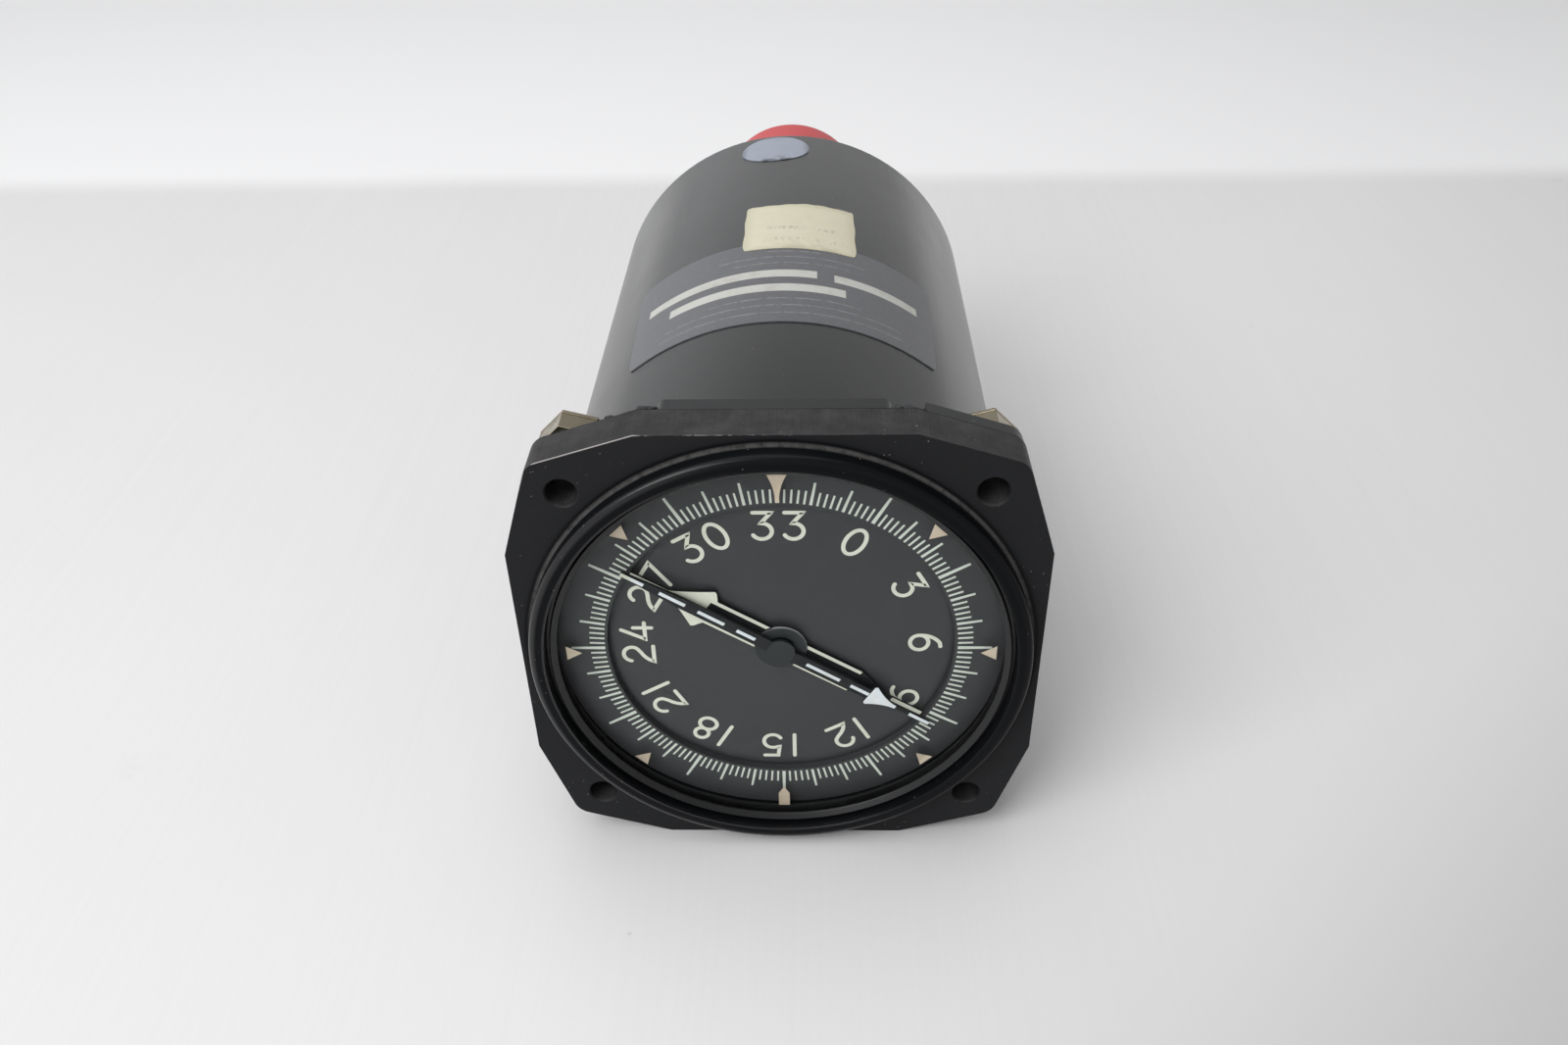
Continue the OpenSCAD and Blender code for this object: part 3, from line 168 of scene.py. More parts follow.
class Sheet:
    """The node tree of a material or of the sky, with one method that adds any node."""

    def __init__(self, name: str, sky: bool = False) -> None:
        """Starts an empty material or sky.

        Args:
            name: The name of the material or sky.
            sky: Whether it is a sky.
        """
        self.owner = (bpy.data.worlds if sky else bpy.data.materials).new(name)
        self.owner.use_nodes = True
        self.tree = self.owner.node_tree
        self.tree.nodes.clear()
        self.out = self.node("ShaderNodeOutputWorld" if sky else "ShaderNodeOutputMaterial")
        coordinates = self.node("ShaderNodeTexCoord")
        self.place = coordinates.outputs["Generated" if sky else "Object"]
        self.facing = coordinates.outputs["Normal"]

    def node(self, kind: str, settings: dict | None = None,
             inputs: dict | None = None) -> bpy.types.Node:
        """Adds one node.

        Args:
            kind: The node's type.
            settings: Its properties, set first.
            inputs: A value, socket, node or Value for each socket, by name or number.

        Returns:
            The node.
        """
        made = self.tree.nodes.new(kind)
        for key, value in (settings or {}).items():
            setattr(made, key, value)
        for key, value in (inputs or {}).items():
            socket = made.inputs[key]
            if isinstance(value, Value):
                value = value.socket
            elif isinstance(value, bpy.types.Node):
                value = value.outputs[0]
            if isinstance(value, bpy.types.NodeSocket):
                self.tree.links.new(value, socket)
            elif socket.type == "RGBA" and len(value) == 3:
                socket.default_value = (*value, 1)
            else:
                socket.default_value = value
        return made

    def noise(self, scale: float, detail: float = 3, rough: float = 0.55,
              at: bpy.types.NodeSocket | None = None) -> Value:
        """Cloudy noise from 0 to 1.

        Args:
            scale: Features to the metre.
            detail: Layers of finer noise.
            rough: Strength of each finer layer.
            at: Coordinates in place of the object's own.

        Returns:
            The noise.
        """
        made = self.node("ShaderNodeTexNoise", None, {
            "Vector": at or self.place, "Scale": scale, "Detail": detail, "Roughness": rough})
        return Value(self, made.outputs[0])

    def stretched(self, across: float, deep: float, up: float) -> bpy.types.NodeSocket:
        """Object coordinates scaled by one factor for each axis."""
        return self.node("ShaderNodeMapping", {"vector_type": "POINT"}, {
            "Vector": self.place, "Scale": (across, deep, up)}).outputs[0]

    def plate(self) -> bpy.types.NodeSocket:
        """Coordinates of a leaf's own UV map."""
        return self.node("ShaderNodeUVMap", {"uv_map": UV_MAP}).outputs[0]

    def axes(self, at: bpy.types.NodeSocket | None = None) -> tuple[Value, Value, Value]:
        """The three coordinates as values, in metres."""
        made = self.node("ShaderNodeSeparateXYZ", None, {0: at or self.place})
        return tuple(Value(self, made.outputs[i]) for i in range(3))

    def radius(self) -> Value:
        """Distance from the instrument's axis, in metres."""
        x, _, z = self.axes()
        return (x * x + z * z) ** 0.5

    def specks(self, scale: float, size: float, share: float) -> Value:
        """Scattered round specks: a cell's distance under size, in a share of the cells.

        Args:
            scale: Cells to the metre.
            size: Radius of a speck, in cells.
            share: How many cells hold one, from 0 to 1.

        Returns:
            1 in a speck and 0 outside.
        """
        cells = self.node("ShaderNodeTexVoronoi", None, {"Vector": self.place, "Scale": scale})
        far = Value(self, cells.outputs["Distance"])
        pick = self.node("ShaderNodeSeparateColor", None, {0: cells.outputs["Color"]})
        chance, spread = Value(self, pick.outputs[0]), Value(self, pick.outputs[1])
        inside = (far - spread * size).rise(0.02, -0.02)
        return inside * chance.rise(1 - share - 0.002, 1 - share + 0.002)

    def blend(self, share: Value | float, low: Colour | bpy.types.NodeSocket,
              high: Colour | bpy.types.NodeSocket) -> bpy.types.NodeSocket:
        """A colour between two others.

        Args:
            share: How far from low to high.
            low: The colour at 0.
            high: The colour at 1.

        Returns:
            The colour.
        """
        made = self.node("ShaderNodeMix", {"data_type": "RGBA"}, {
            "Factor": share, 6: low, 7: high})
        return made.outputs[2]

    def mottled(self, share: Value, colour: Colour, factor: float) -> bpy.types.NodeSocket:
        """A colour that turns to a factor of itself by a share."""
        return self.blend(share, colour, tuple(c * factor for c in colour))

    def bump(self, height: Value, depth: float, strength: float = 1.0) -> bpy.types.Node:
        """A Bump node for a height from 0 to 1 that stands for depth in metres."""
        return self.node("ShaderNodeBump", None, {
            "Height": height, "Distance": depth, "Strength": strength})

    def finish(self, **sockets: "Value | float | Colour | bpy.types.Node | bpy.types.NodeSocket"
               ) -> bpy.types.Material:
        """Ends in one Principled shader.

        Args:
            sockets: Its inputs, with underscores for spaces.

        Returns:
            The material.
        """
        shader = self.node("ShaderNodeBsdfPrincipled", None, {
            name.replace("_", " "): value for name, value in sockets.items()})
        self.tree.links.new(shader.outputs[0], self.out.inputs[0])
        return self.owner


@dataclass(frozen=True)
class Finish:
    """What every finish shares: its name, and the material that is made of it once."""

    name: str

    @cache
    def material(self) -> bpy.types.Material:
        """Builds the material on a sheet of its own.

        Returns:
            The material, the same one at every call.
        """
        sheet = Sheet(self.name)
        self.draw(sheet)
        return sheet.owner

    def draw(self, s: Sheet) -> None:
        """Draws the finish, which each kind of finish does in its own way."""
        raise NotImplementedError(type(self).__name__)


@dataclass(frozen=True)
class Enamel(Finish):
    """Sprayed satin enamel on metal: fine orange peel, cloudy gloss, dust on what faces up.

    Attributes:
        gloss: Roughness of the clean coat.
        peel: Strength of the orange peel.
        level: Level of the mirror-like share.
        dust: Share of cells that hold a speck.
        film: Share of the dust film on what faces up.
        rim: Radius in metres of a hub's rim, rubbed and given a painted highlight on its upper
            right.
    """

    colour: Colour
    gloss: float = 0.42
    peel: float = 0.35
    level: float = 0.5
    dust: float = 0.03
    film: float = 0.0
    rim: float = 0.0

    def draw(self, s: Sheet) -> None:
        """Draws the coat and, on a hub, its rubbed rim with a painted highlight.

        Args:
            s: The sheet to draw on.
        """
        colour, rough, height = self.coat(s)
        if self.rim:
            x, _, z = s.axes()
            highlit_upper_right = (x + z).rise(RIM_HIGHLIGHT_START, RIM_HIGHLIGHT_FULL)
            arc = abs(s.radius() - self.rim).rise(*RIM_HIGHLIGHT_WIDTH) * highlit_upper_right
            # A light arc on the rim's upper right: a painted highlight on the rubbed edge.
            colour = s.blend(arc * 0.6, colour, tone("b4b5b4"))
        self.cover(s, colour, rough, height)

    def cover(self, s: Sheet, colour: bpy.types.NodeSocket, rough: Value, height: Value,
              **sockets: Value | float) -> None:
        """Ends the sheet in the enamel's shader.

        Args:
            s: The sheet to draw on.
            colour: The coat's colour.
            rough: Its roughness, which is kept to 1 or less.
            height: Its height, for the bump.
            sockets: Further inputs of the shader.
        """
        s.finish(Base_Color=colour, Roughness=rough.least(1), Specular_IOR_Level=self.level,
                 **sockets, Normal=s.bump(height, PAINT_BUMP, self.peel))

    def coat(self, s: Sheet, field_of_dust: Value | float = 1
             ) -> tuple[bpy.types.NodeSocket, Value, Value]:
        """The sprayed coat with its dust.

        Args:
            s: The material's sheet.
            field_of_dust: Where the film of dust may lie.

        Returns:
            Colour, roughness and the orange peel's height.
        """
        cloud = s.noise(90, 4)
        peel = s.noise(1900, 2)
        _, _, up = s.axes(s.facing)
        lying = up.rise(0.3, 0.95)
        fine = s.specks(2600, 0.3, self.dust)
        lint = s.specks(1100, 0.2, self.dust * 0.3)
        specks = fine.most(lint) * (s.noise(60, 2).rise(0.4, 0.65) * 0.8 + 0.2) * (lying * 0.4 + 0.6)
        colour = s.mottled(cloud * 0.5, self.colour, 1.5)
        film = (s.noise(240, 5, 0.7).rise(0.3, 0.8) * 0.6 + 0.4) * lying * self.film
        film = film * field_of_dust
        for dusty in (film, specks * 0.7):
            colour = s.blend(dusty, colour, DUST)
        return colour, self.gloss + (cloud - 0.5) * 0.06 + specks * 0.3 + film * 0.8, peel


@dataclass(frozen=True)
class WellEnamel(Enamel):
    """Card enamel with a painted shade line in the corner where the disc meets the raised ring."""

    edge: float = 0.02785

    def draw(self, s: Sheet) -> None:
        """Draws the coat and the painted shade line.

        Args:
            s: The sheet to draw on.
        """
        colour, rough, height = self.coat(s)
        # Painted shade: the disc turns darker just inside the raised ring's step.
        corner = s.radius().rise(self.edge - 0.9 * MM, self.edge - 0.1 * MM)
        self.cover(s, s.blend(corner * 0.5, colour, (0.006, 0.006, 0.007)), rough, height)


@dataclass(frozen=True)
class CastingEnamel(Enamel):
    """Enamel on the square casting: machined lines, outline wear with a painted edge highlight, old
    dust and a dark joint.
    """

    def draw(self, s: Sheet) -> None:
        """Draws the coat, then the marks that lie by the bezel, the joint and the outline.

        Args:
            s: The sheet to draw on.
        """
        bright, chalk = (0.3, 0.3, 0.31), (0.32, 0.31, 0.3)
        gap, moss = (0.004, 0.004, 0.004), (0.35, 0.38, 0.16)
        x, y, z = s.axes()
        radius = s.radius()

        def past(low: float, high: float) -> Value:
            """A rise between two distances past the bezel's outer edge, in millimetres."""
            return radius.rise(BEZEL + low * MM, BEZEL + high * MM)

        outside = past(0.6, 1.4)
        colour, rough, peel = self.coat(s, outside)
        lines = s.noise(1, 2, 0.5, s.stretched(7000, 90, 7000))
        colour = s.blend(outside * lines * 0.09, colour, bright)
        foot = past(-0.5, 0.1) * past(0.7, 0.2) * y.rise(-0.8 * MM, -0.2 * MM)
        grime = s.noise(700, 5, 0.75).rise(0.15, 0.6) * z.rise(-0.01, 0.02)
        colour = s.blend(foot * grime * 0.3, colour, chalk)
        crest = y.rise(-1.9 * MM, -2.6 * MM) * past(-1.3, -0.7).most(past(-2.0, -2.3))
        crest = crest * ((x + z * 0.4).rise(0.012, -0.008) * 0.6 + 0.1)
        joint = y.rise(CASTING_BACK - 0.25 * MM, CASTING_BACK - 0.1 * MM) * outside
        colour = s.blend(joint, colour, gap)
        crumb = s.specks(1500, 0.42, 0.35) * s.noise(130, 3).rise(0.5, 0.6) * joint * x.rise(0, 0.02)
        colour = s.blend(crumb * 0.8, colour, moss)
        # Pale line along the outline: rubbed paint plus a painted edge highlight.
        colour = s.blend(self.worn(s), colour, tone("b8b2b0"))
        rough = rough - (1 - outside) * 0.08 + foot * 0.2
        self.cover(s, colour, rough, peel + lines * outside * 0.3, Coat_Weight=crest,
                   Coat_Roughness=0.26)

    @staticmethod
    def worn(s: Sheet) -> Value:
        """Wear along the flange's front outline, with a painted highlight that is whole on the upper
        left slant only.

        The distance to the outline is the lesser of that to a flat and that to a slant.

        Args:
            s: The material's sheet.

        Returns:
            How much the paint is rubbed, with the painted highlight.
        """
        slant_far, slant_near, slant_at = 0.953, 0.302, 0.04544
        left, deep, high = s.axes()
        x, z = abs(left), abs(high)
        far, near = x.most(z), x.least(z)
        rim = (HALF_FLANGE - far).least(slant_at - near * slant_near - far * slant_far)
        line = rim.rise(0.18 * MM, 0.06 * MM) * abs(deep).rise(0.2 * MM, 0.08 * MM)
        # The upper left slant and the middle of the top carry a painted edge highlight.
        slant = left.rise(-0.0185, -0.0205) * high.rise(0.030, 0.036)
        top = left.rise(0.012, -0.012) * high.rise(0.0405, 0.041) * 0.25
        patch = s.noise(420, 5, 0.75)
        chips_and_highlight = (patch.rise(0.6, 0.7) * 0.12).most(slant * (patch.rise(0.3, 0.5) * 0.3 + 0.5))
        return line * chips_and_highlight.most(top * patch.rise(0.5, 0.58))


class Grain(Enum):
    """How a bare metal surface was worked, as features to the metre across, along y and up."""

    TURNED = (300, 9000, 300)
    MILLED = (5200, 300, 5200)
    DRAWN = (3800, 160, 3800)
    POLISHED = (400, 150, 400)


@dataclass(frozen=True)
class Metal(Finish):
    """Bare or plated metal with the marks of its making and a thin uneven tarnish."""

    colour: Colour
    grain: Grain
    rough: float = 0.34
    tarnish: Colour = (0.16, 0.13, 0.08)
    age: float = 0.25

    def draw(self, s: Sheet) -> None:
        """Draws the metal.

        Args:
            s: The sheet to draw on.
        """
        marks = s.noise(1, 3, 0.6, s.stretched(*self.grain.value))
        stain = s.noise(150, 5, 0.65).rise(0.4, 0.75)
        colour = s.blend(stain * self.age, self.colour, self.tarnish)
        rough = self.rough + (marks - 0.5) * 0.16 + stain * self.age * 0.5
        s.finish(Base_Color=colour, Metallic=1.0, Roughness=rough,
                 Normal=s.bump(marks, METAL_BUMP, 0.5))


@dataclass(frozen=True)
class Marking(Finish):
    """Matt marking paint with a faint screen texture and slight yellowing in patches.

    Left of `aged`, in metres from the axis, all of it has turned to the second shade.
    """

    colour: Colour
    shade: Colour
    aged: float = -1.0

    def draw(self, s: Sheet) -> None:
        """Draws the paint.

        Args:
            s: The sheet to draw on.
        """
        patch = s.noise(420, 4, 0.6)
        grit = s.noise(5200, 2)
        x, _, _ = s.axes()
        turned = (patch.rise(0.4, 0.75) * 0.45).most(x.rise(self.aged, self.aged - MM))
        s.finish(Base_Color=s.blend(turned, self.colour, self.shade), Roughness=0.62 + patch * 0.16,
                 Normal=s.bump(grit, PRINT_BUMP, 0.4))


@dataclass(frozen=True)
class Moulded(Finish):
    """Moulded plastic, rubber or laminate: flow clouds and a fine skin."""

    colour: Colour
    rough: float = 0.45
    skin: float = 1400
    soft: float = 0.0
    coat: float = 0.0

    def draw(self, s: Sheet) -> None:
        """Draws the moulding.

        Args:
            s: The sheet to draw on.
        """
        flow = s.noise(70, 3)
        skin = s.noise(self.skin, 3)
        s.finish(Base_Color=s.mottled(flow.rise(0.3, 0.8) * 0.3, self.colour, 0.72),
                 Roughness=self.rough + (flow - 0.5) * 0.14,
                 Subsurface_Weight=self.soft, Subsurface_Radius=(0.002, 0.0006, 0.0004),
                 Coat_Weight=self.coat, Normal=s.bump(skin, PAINT_BUMP, 0.35))


@dataclass(frozen=True)
class Wound(Finish):
    """Varnished copper wire and stacked iron: fine rings along the shaft."""

    iron: Colour = (0.09, 0.075, 0.06)
    copper: Colour = (0.42, 0.16, 0.06)
    varnish: Colour = (0.03, 0.02, 0.015)
    pitch: float = 0.0004

    def draw(self, s: Sheet) -> None:
        """Draws the rings.

        Args:
            s: The sheet to draw on.
        """
        _, y, _ = s.axes()
        rings = (y * (2 * math.pi / self.pitch)).sine() * 0.5 + 0.5
        share = s.noise(220, 3).rise(0.35, 0.6)
        colour = s.blend(share, self.iron, self.copper)
        s.finish(Base_Color=s.blend(rings * 0.5, colour, self.varnish),
                 Metallic=0.5, Roughness=0.38 + rings * 0.15,
                 Coat_Weight=0.4, Normal=s.bump(rings, 3 * PAINT_BUMP, 0.7))


@dataclass(frozen=True)
class CoverGlass(Finish):
    """Plain cover glass: clear straight through, with a reflection that grows at a slant."""

    tint: Colour = (0.975, 0.988, 0.985)

    def draw(self, s: Sheet) -> None:
        """Mixes a clear shader and a mirror-like one.

        The share of the reflection is f^5, where f is 1 less the cosine of the view's slant.
        Faces met from inside the pane don't reflect.

        Args:
            s: The sheet to draw on.
        """
        smear = s.noise(60, 4)
        clear = s.node("ShaderNodeBsdfTransparent", None, {"Color": self.tint})
        shine = s.node("ShaderNodeBsdfGlossy", None, {"Color": (1, 1, 1), "Roughness": 0.03})
        slant = Value(s, s.node("ShaderNodeLayerWeight", None, {"Blend": 0.5}).outputs["Facing"])
        inside = Value(s, s.node("ShaderNodeNewGeometry").outputs["Backfacing"])
        share = slant ** 5 * (0.92 + smear * 0.16) * (1 - inside)
        mix = s.node("ShaderNodeMixShader", None, {0: share, 1: clear, 2: shine})
        s.tree.links.new(mix.outputs[0], s.out.inputs[0])


@dataclass(frozen=True)
class PrintedFoil(Finish):
    """Dark foil data plate: bare white boxes and thin rules, placed by its own UV map.

    The map's u runs across the case in millimetres of arc and v back along it. A box is left,
    right, low and high; a rule is left, right and its middle.
    """

    foil: Colour = (0.132, 0.134, 0.144)
    box: Colour = (0.62, 0.62, 0.58)
    dirty: Colour = (0.4, 0.38, 0.32)
    rule: Colour = (0.42, 0.43, 0.43)
    boxes: tuple[tuple[float, float, float, float], ...] = ()
    rules: tuple[tuple[float, float, float], ...] = ()

    def draw(self, s: Sheet) -> None:
        """Draws the foil and its print: a box is where u and v both lie between its edges.

        Args:
            s: The sheet to draw on.
        """
        u, v, _ = s.axes(s.plate())

        def printed(left: float, right: float, low: float, high: float, blur: float) -> Value:
            """One box whose edges fade over a blur each way."""
            return (u - left).least(right - u).least((v - low).least(high - v)).rise(-blur, blur)

        marked = reduce(Value.most, [printed(*box, 0.05) for box in self.boxes])
        lines = reduce(Value.most, [printed(left, right, middle - RULE, middle + RULE, 0.03)
                                    for left, right, middle in self.rules])
        rub = s.noise(900, 4, 0.7)
        stain = s.noise(260, 4, 0.65).rise(0.45, 0.75)
        white = s.blend(stain * 0.45, self.box, self.dirty)
        colour = s.mottled(rub.rise(0.4, 0.9) * 0.4, self.foil, 1.7)
        colour = s.blend(lines * 0.5 * rub.rise(0.35, 0.55), colour, self.rule)
        colour = s.blend(marked * 0.94, colour, white)
        s.finish(Base_Color=colour, Metallic=0.3, Roughness=0.36 + marked * 0.25,
                 Specular_IOR_Level=0.7, Normal=s.bump(rub, PAINT_BUMP / 2, 0.4))


@dataclass(frozen=True)
class AgedPaper(Finish):
    """Paper stuck on the case: fibres, yellowed edges and faint smudges, by its own UV map."""

    colour: Colour
    dirt: Colour
    smudge: float = 0.5
    faded: float = 0.0
    edge: float = 0.5
    writing: Colour = (0.2, 0.21, 0.2)

    def draw(self, s: Sheet) -> None:
        """Draws the paper: the edge's share grows with the larger of |u| and |v|.

        Args:
            s: The sheet to draw on.
        """
        u, v, _ = s.axes(s.plate())
        rim = abs(u).most(abs(v)).rise(0.78, 1.02)
        fibre = s.noise(2600, 4, 0.7)
        patch = s.noise(300, 5, 0.65)
        low = (v + patch * 0.6).rise(-0.1, -0.8) * patch.rise(0.5, 0.62) * self.smudge
        ink = s.noise(1, 3, 0.6, s.stretched(1500, 420, 1500)).rise(0.5, 0.62)
        rows = abs(v + 0.1).rise(0.09, 0.04).most(abs(v + 0.62).rise(0.13, 0.06) * 0.7)
        faded = ink * rows * abs(u - 0.1).rise(0.8, 0.6) * self.faded
        colour = s.mottled(patch.rise(0.35, 0.8) * 0.35, self.colour, 0.82)
        colour = s.blend(faded, colour, self.writing)
        colour = s.blend((rim * self.edge + low).least(1), colour, self.dirt)
        s.finish(Base_Color=colour, Roughness=0.7 + fibre * 0.15,
                 Normal=s.bump(fibre, PAINT_BUMP, 0.4))


@dataclass(frozen=True)
class Tabletop(Finish):
    """Pale table film with faint lines and smudges, painted shade that falls off to the right and
    front, a painted shadow patch by the object, and a paler backdrop past its far edge, painted
    darker to the right.

    Attributes:
        edge: Where the table ends along y, in metres.
    """

    near: Colour
    far: Colour
    edge: float
    warmth: Colour = (0.74, 0.715, 0.7)
    shade: Colour = (0.34, 0.335, 0.33)
    smudge: Colour = (0.42, 0.4, 0.37)

    def draw(self, s: Sheet) -> None:
        """Draws the table and the backdrop.

        Args:
            s: The sheet to draw on.
        """
        x, y, _ = s.axes()
        lines = s.noise(1, 2, 0.5, s.stretched(900, 5, 1))
        cloud = s.noise(9, 5, 0.6)
        mark = s.specks(120, 0.1, 0.04).most(s.noise(45, 5, 0.7).rise(0.66, 0.8) * 0.5)
        mark = mark * s.noise(11, 2).rise(0.46, 0.6)
        back = (y + cloud * 0.004).rise(self.edge - 0.006, self.edge + 0.016)
        # Painted shade: the table turns darker and warmer towards the right and front.
        painted_falloff = (x * 1.1 - y * 0.7).rise(-0.02, 0.34)
        falloff_colour = tuple(c * k for c, k in zip(self.near, self.warmth))
        table = s.blend(painted_falloff * 0.85, self.near, falloff_colour)
        # Painted shadow: a soft dark patch on the table in front of the instrument and to its right.
        corner = (x * 0.8 - y).rise(0.05, 0.17) * (x * x + y * y).rise(0.12, 0.03)
        table = s.blend(corner * 0.6, table, self.shade)
        table = s.blend((lines - 0.5) * 0.22 + (0.5 - cloud) * 0.25 + 0.12, table,
                        tuple(c * 0.8 for c in self.near))
        table = s.blend(mark * 0.3, table, self.smudge)
        # Painted shade: the backdrop turns darker towards the right.
        wall = s.mottled(x.rise(0.0, 0.5), self.far, 0.93)
        s.finish(Base_Color=s.blend(back, table, wall), Roughness=0.55 + cloud * 0.1,
                 Specular_IOR_Level=0.3)


def mesh_of(name: str, points: Grid, faces: Grid) -> bpy.types.Mesh:
    """A mesh from its points and faces.

    Args:
        name: The mesh's name.
        points: Its points, in millimetres.
        faces: The four corners of each face, as numbers of points.

    Returns:
        The mesh.
    """
    mesh = bpy.data.meshes.new(name)
    mesh.from_pydata((points.reshape(-1, 3) * MM).tolist(), [], faces.reshape(-1, 4).tolist())
    return mesh


def linked(name: str, mesh: bpy.types.Mesh, angle: float) -> bpy.types.Object:
    """A mesh's object in the scene, at the origin and smooth by angle.

    Args:
        name: The piece's name.
        mesh: Its mesh.
        angle: Edges sharper than this many degrees stay sharp.

    Returns:
        The object.
    """
    mesh.shade_smooth()
    mesh.set_sharp_from_angle(angle=math.radians(angle))
    made = bpy.data.objects.new(name, mesh)
    bpy.context.scene.collection.objects.link(made)
    return made


def placed(name: str, mesh: bpy.types.Mesh) -> bpy.types.Object:
    """An object for a new mesh: doubles merged, faces outwards, smooth by angle.

    Args:
        name: The piece's name.
        mesh: Its mesh, which is changed.

    Returns:
        The object.
    """
    work = bmesh.new()
    work.from_mesh(mesh)
    bmesh.ops.remove_doubles(work, verts=work.verts, dist=MERGE)
    bmesh.ops.dissolve_degenerate(work, edges=work.edges, dist=MERGE)
    bmesh.ops.recalc_face_normals(work, faces=work.faces)
    work.to_mesh(mesh)
    work.free()
    return linked(name, mesh, SHARP)


def surface(name: str, points: Grid, around: bool = False, along: bool = False) -> bpy.types.Object:
    """A mesh from a grid of points: point (i, j) is the surface at parameters i and j.

    Args:
        name: The piece's name.
        points: Array of rows, columns and three coordinates in millimetres.
        around: Whether the last column joins the first.
        along: Whether the last row joins the first.

    Returns:
        The object.
    """
    rows, cols = points.shape[:2]
    i = np.arange(rows if along else rows - 1)[:, None]
    j = np.arange(cols if around else cols - 1)[None, :]
    i2, j2 = (i + 1) % rows, (j + 1) % cols
    quads = np.stack([i * cols + j, i * cols + j2, i2 * cols + j2, i2 * cols + j], -1)
    return placed(name, mesh_of(name, points, quads))


def lathe(name: str, profile: Grid, at: tuple[float, float], steps: int = 160) -> bpy.types.Object:
    """A profile of (radius, depth) carried round an axis along y.

    The point at (i, j) is the axis plus radius i along the direction of angle j, at depth i.

    Args:
        name: The piece's name.
        profile: Closed list of radii and depths in millimetres.
        at: Where the axis lies across and up, in millimetres.
        steps: Points round the axis.

    Returns:
        The object.
    """
    angle = np.linspace(0, 2 * np.pi, steps, endpoint=False)
    r, y = profile[:, 0:1], profile[:, 1:2]
    points = np.stack([at[0] + r * np.cos(angle), y + 0 * angle, at[1] + r * np.sin(angle)], -1)
    return surface(name, points, around=True, along=True)


def rounded(corners: list[tuple[float, float, float]], steps: int = 6) -> Grid:
    """A closed profile whose corners are arcs.

    Each arc is a quadratic curve between the points a rounding's length before and after the
    corner: (1-t)^2 a + 2t(1-t) c + t^2 b. An arc takes less than half of each side.

    Args:
        corners: Radius, depth and rounding length of each corner, in millimetres.
        steps: Points on each arc.

    Returns:
        The profile's points.
    """
    most = 0.49
    c = np.array([p[:2] for p in corners], float)
    size = np.array([p[2] for p in corners], float)[:, None]

    def towards(other: Grid) -> Grid:
        """The points a rounding's length from each corner.

        Args:
            other: The corner towards which each point lies.

        Returns:
            The points.
        """
        side = other - c
        length = np.linalg.norm(side, axis=1)[:, None]
        return c + side / length * np.minimum(size, length * most)

    a, b = towards(np.roll(c, 1, 0)), towards(np.roll(c, -1, 0))
    t = np.linspace(0, 1, steps)[None, :, None]
    points = (1 - t) ** 2 * a[:, None] + 2 * t * (1 - t) * c[:, None] + t ** 2 * b[:, None]
    return points.reshape(-1, 2)


def softened(node: str, name: str, width: float, segments: int = 2) -> bpy.types.Object:
    """A CAD node's merged copy with small rounded edges, which stands for the node.

    Args:
        node: The CAD node.
        name: The new piece's name.
        width: Width of the rounding in millimetres.
        segments: Faces across it.

    Returns:
        The new piece.
    """
    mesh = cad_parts[node].data.copy()
    mesh.name = name
    work = bmesh.new()
    work.from_mesh(mesh)
    bmesh.ops.remove_doubles(work, verts=work.verts, dist=MERGE_CAD)
    bmesh.ops.dissolve_limit(work, angle_limit=math.radians(FLAT), verts=work.verts,
                             edges=work.edges)
    work.to_mesh(mesh)
    work.free()
    if mesh.has_custom_normals:
        mesh.attributes.remove(mesh.attributes["custom_normal"])
    made = linked(name, mesh, SHARP_CAD)
    edge = made.modifiers.new("rounding", "BEVEL")
    edge.width = width * MM
    edge.segments = segments
    edge.limit_method = "ANGLE"
    edge.angle_limit = math.radians(SHARP_CAD)
    edge.use_clamp_overlap = True
    edge.harden_normals = True
    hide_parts(node)
    return made


@dataclass
class Assembly:
    """What every sub-assembly shares: dressing a piece, and putting it on its body."""

    body: str = "root"

    def dress(self, piece: bpy.types.Object, finish: Finish, slot: str,
              body: str | None = None) -> None:
        """Gives a new piece its finish, material slot and body, and reports it.

        Args:
            piece: The new piece.
            finish: Its finish.
            slot: Not used.
            body: The body that it rides on, where it isn't the assembly's own.
        """
        piece.data.materials.clear()
        piece.data.materials.append(finish.material())
        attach(piece, body or self.body)
        LOG.info("%s: %d faces, on %s", piece.name, len(piece.data.polygons), body or self.body)

    def paint(self, finish: Finish, *nodes: str) -> None:
        """Gives CAD nodes a finish.

        Args:
            finish: The finish.
            nodes: The nodes' names.
        """
        for node in nodes:
            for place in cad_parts[node].material_slots:
                place.link = "OBJECT"
                place.material = finish.material()
            LOG.info("%s: dressed", node)


@dataclass
class Front(Assembly):
    """Casting with its bezel, the retaining ring, the glass, its seal and the fixed marks."""

    def build(self) -> None:
        """Builds and dresses the front."""
        black = CastingEnamel("casting_enamel", tone("0e0f11"), gloss=0.38, peel=0.3, level=0.06,
                              film=0.112)
        casting = softened("mounting_flange", "flange_casting", width=0.3, segments=3)
        self.dress(casting, black, "flange_paint")
        coat = Enamel("ring_black", tone("131415"), gloss=0.34, peel=0.2, level=0.4, dust=0.01)
        ring = softened("retaining_ring", "window_ring", width=0.12)
        self.dress(ring, coat, "black_paint")
        self.paint(CoverGlass("cover_glass"), "window_glass")
        self.paint(Moulded("seal_rubber", tone("141414"), rough=0.6), "glass_seal")
        self.paint(Marking("index_tan", tone("dccbb6"), tone("c2ad93")), "index_marks")


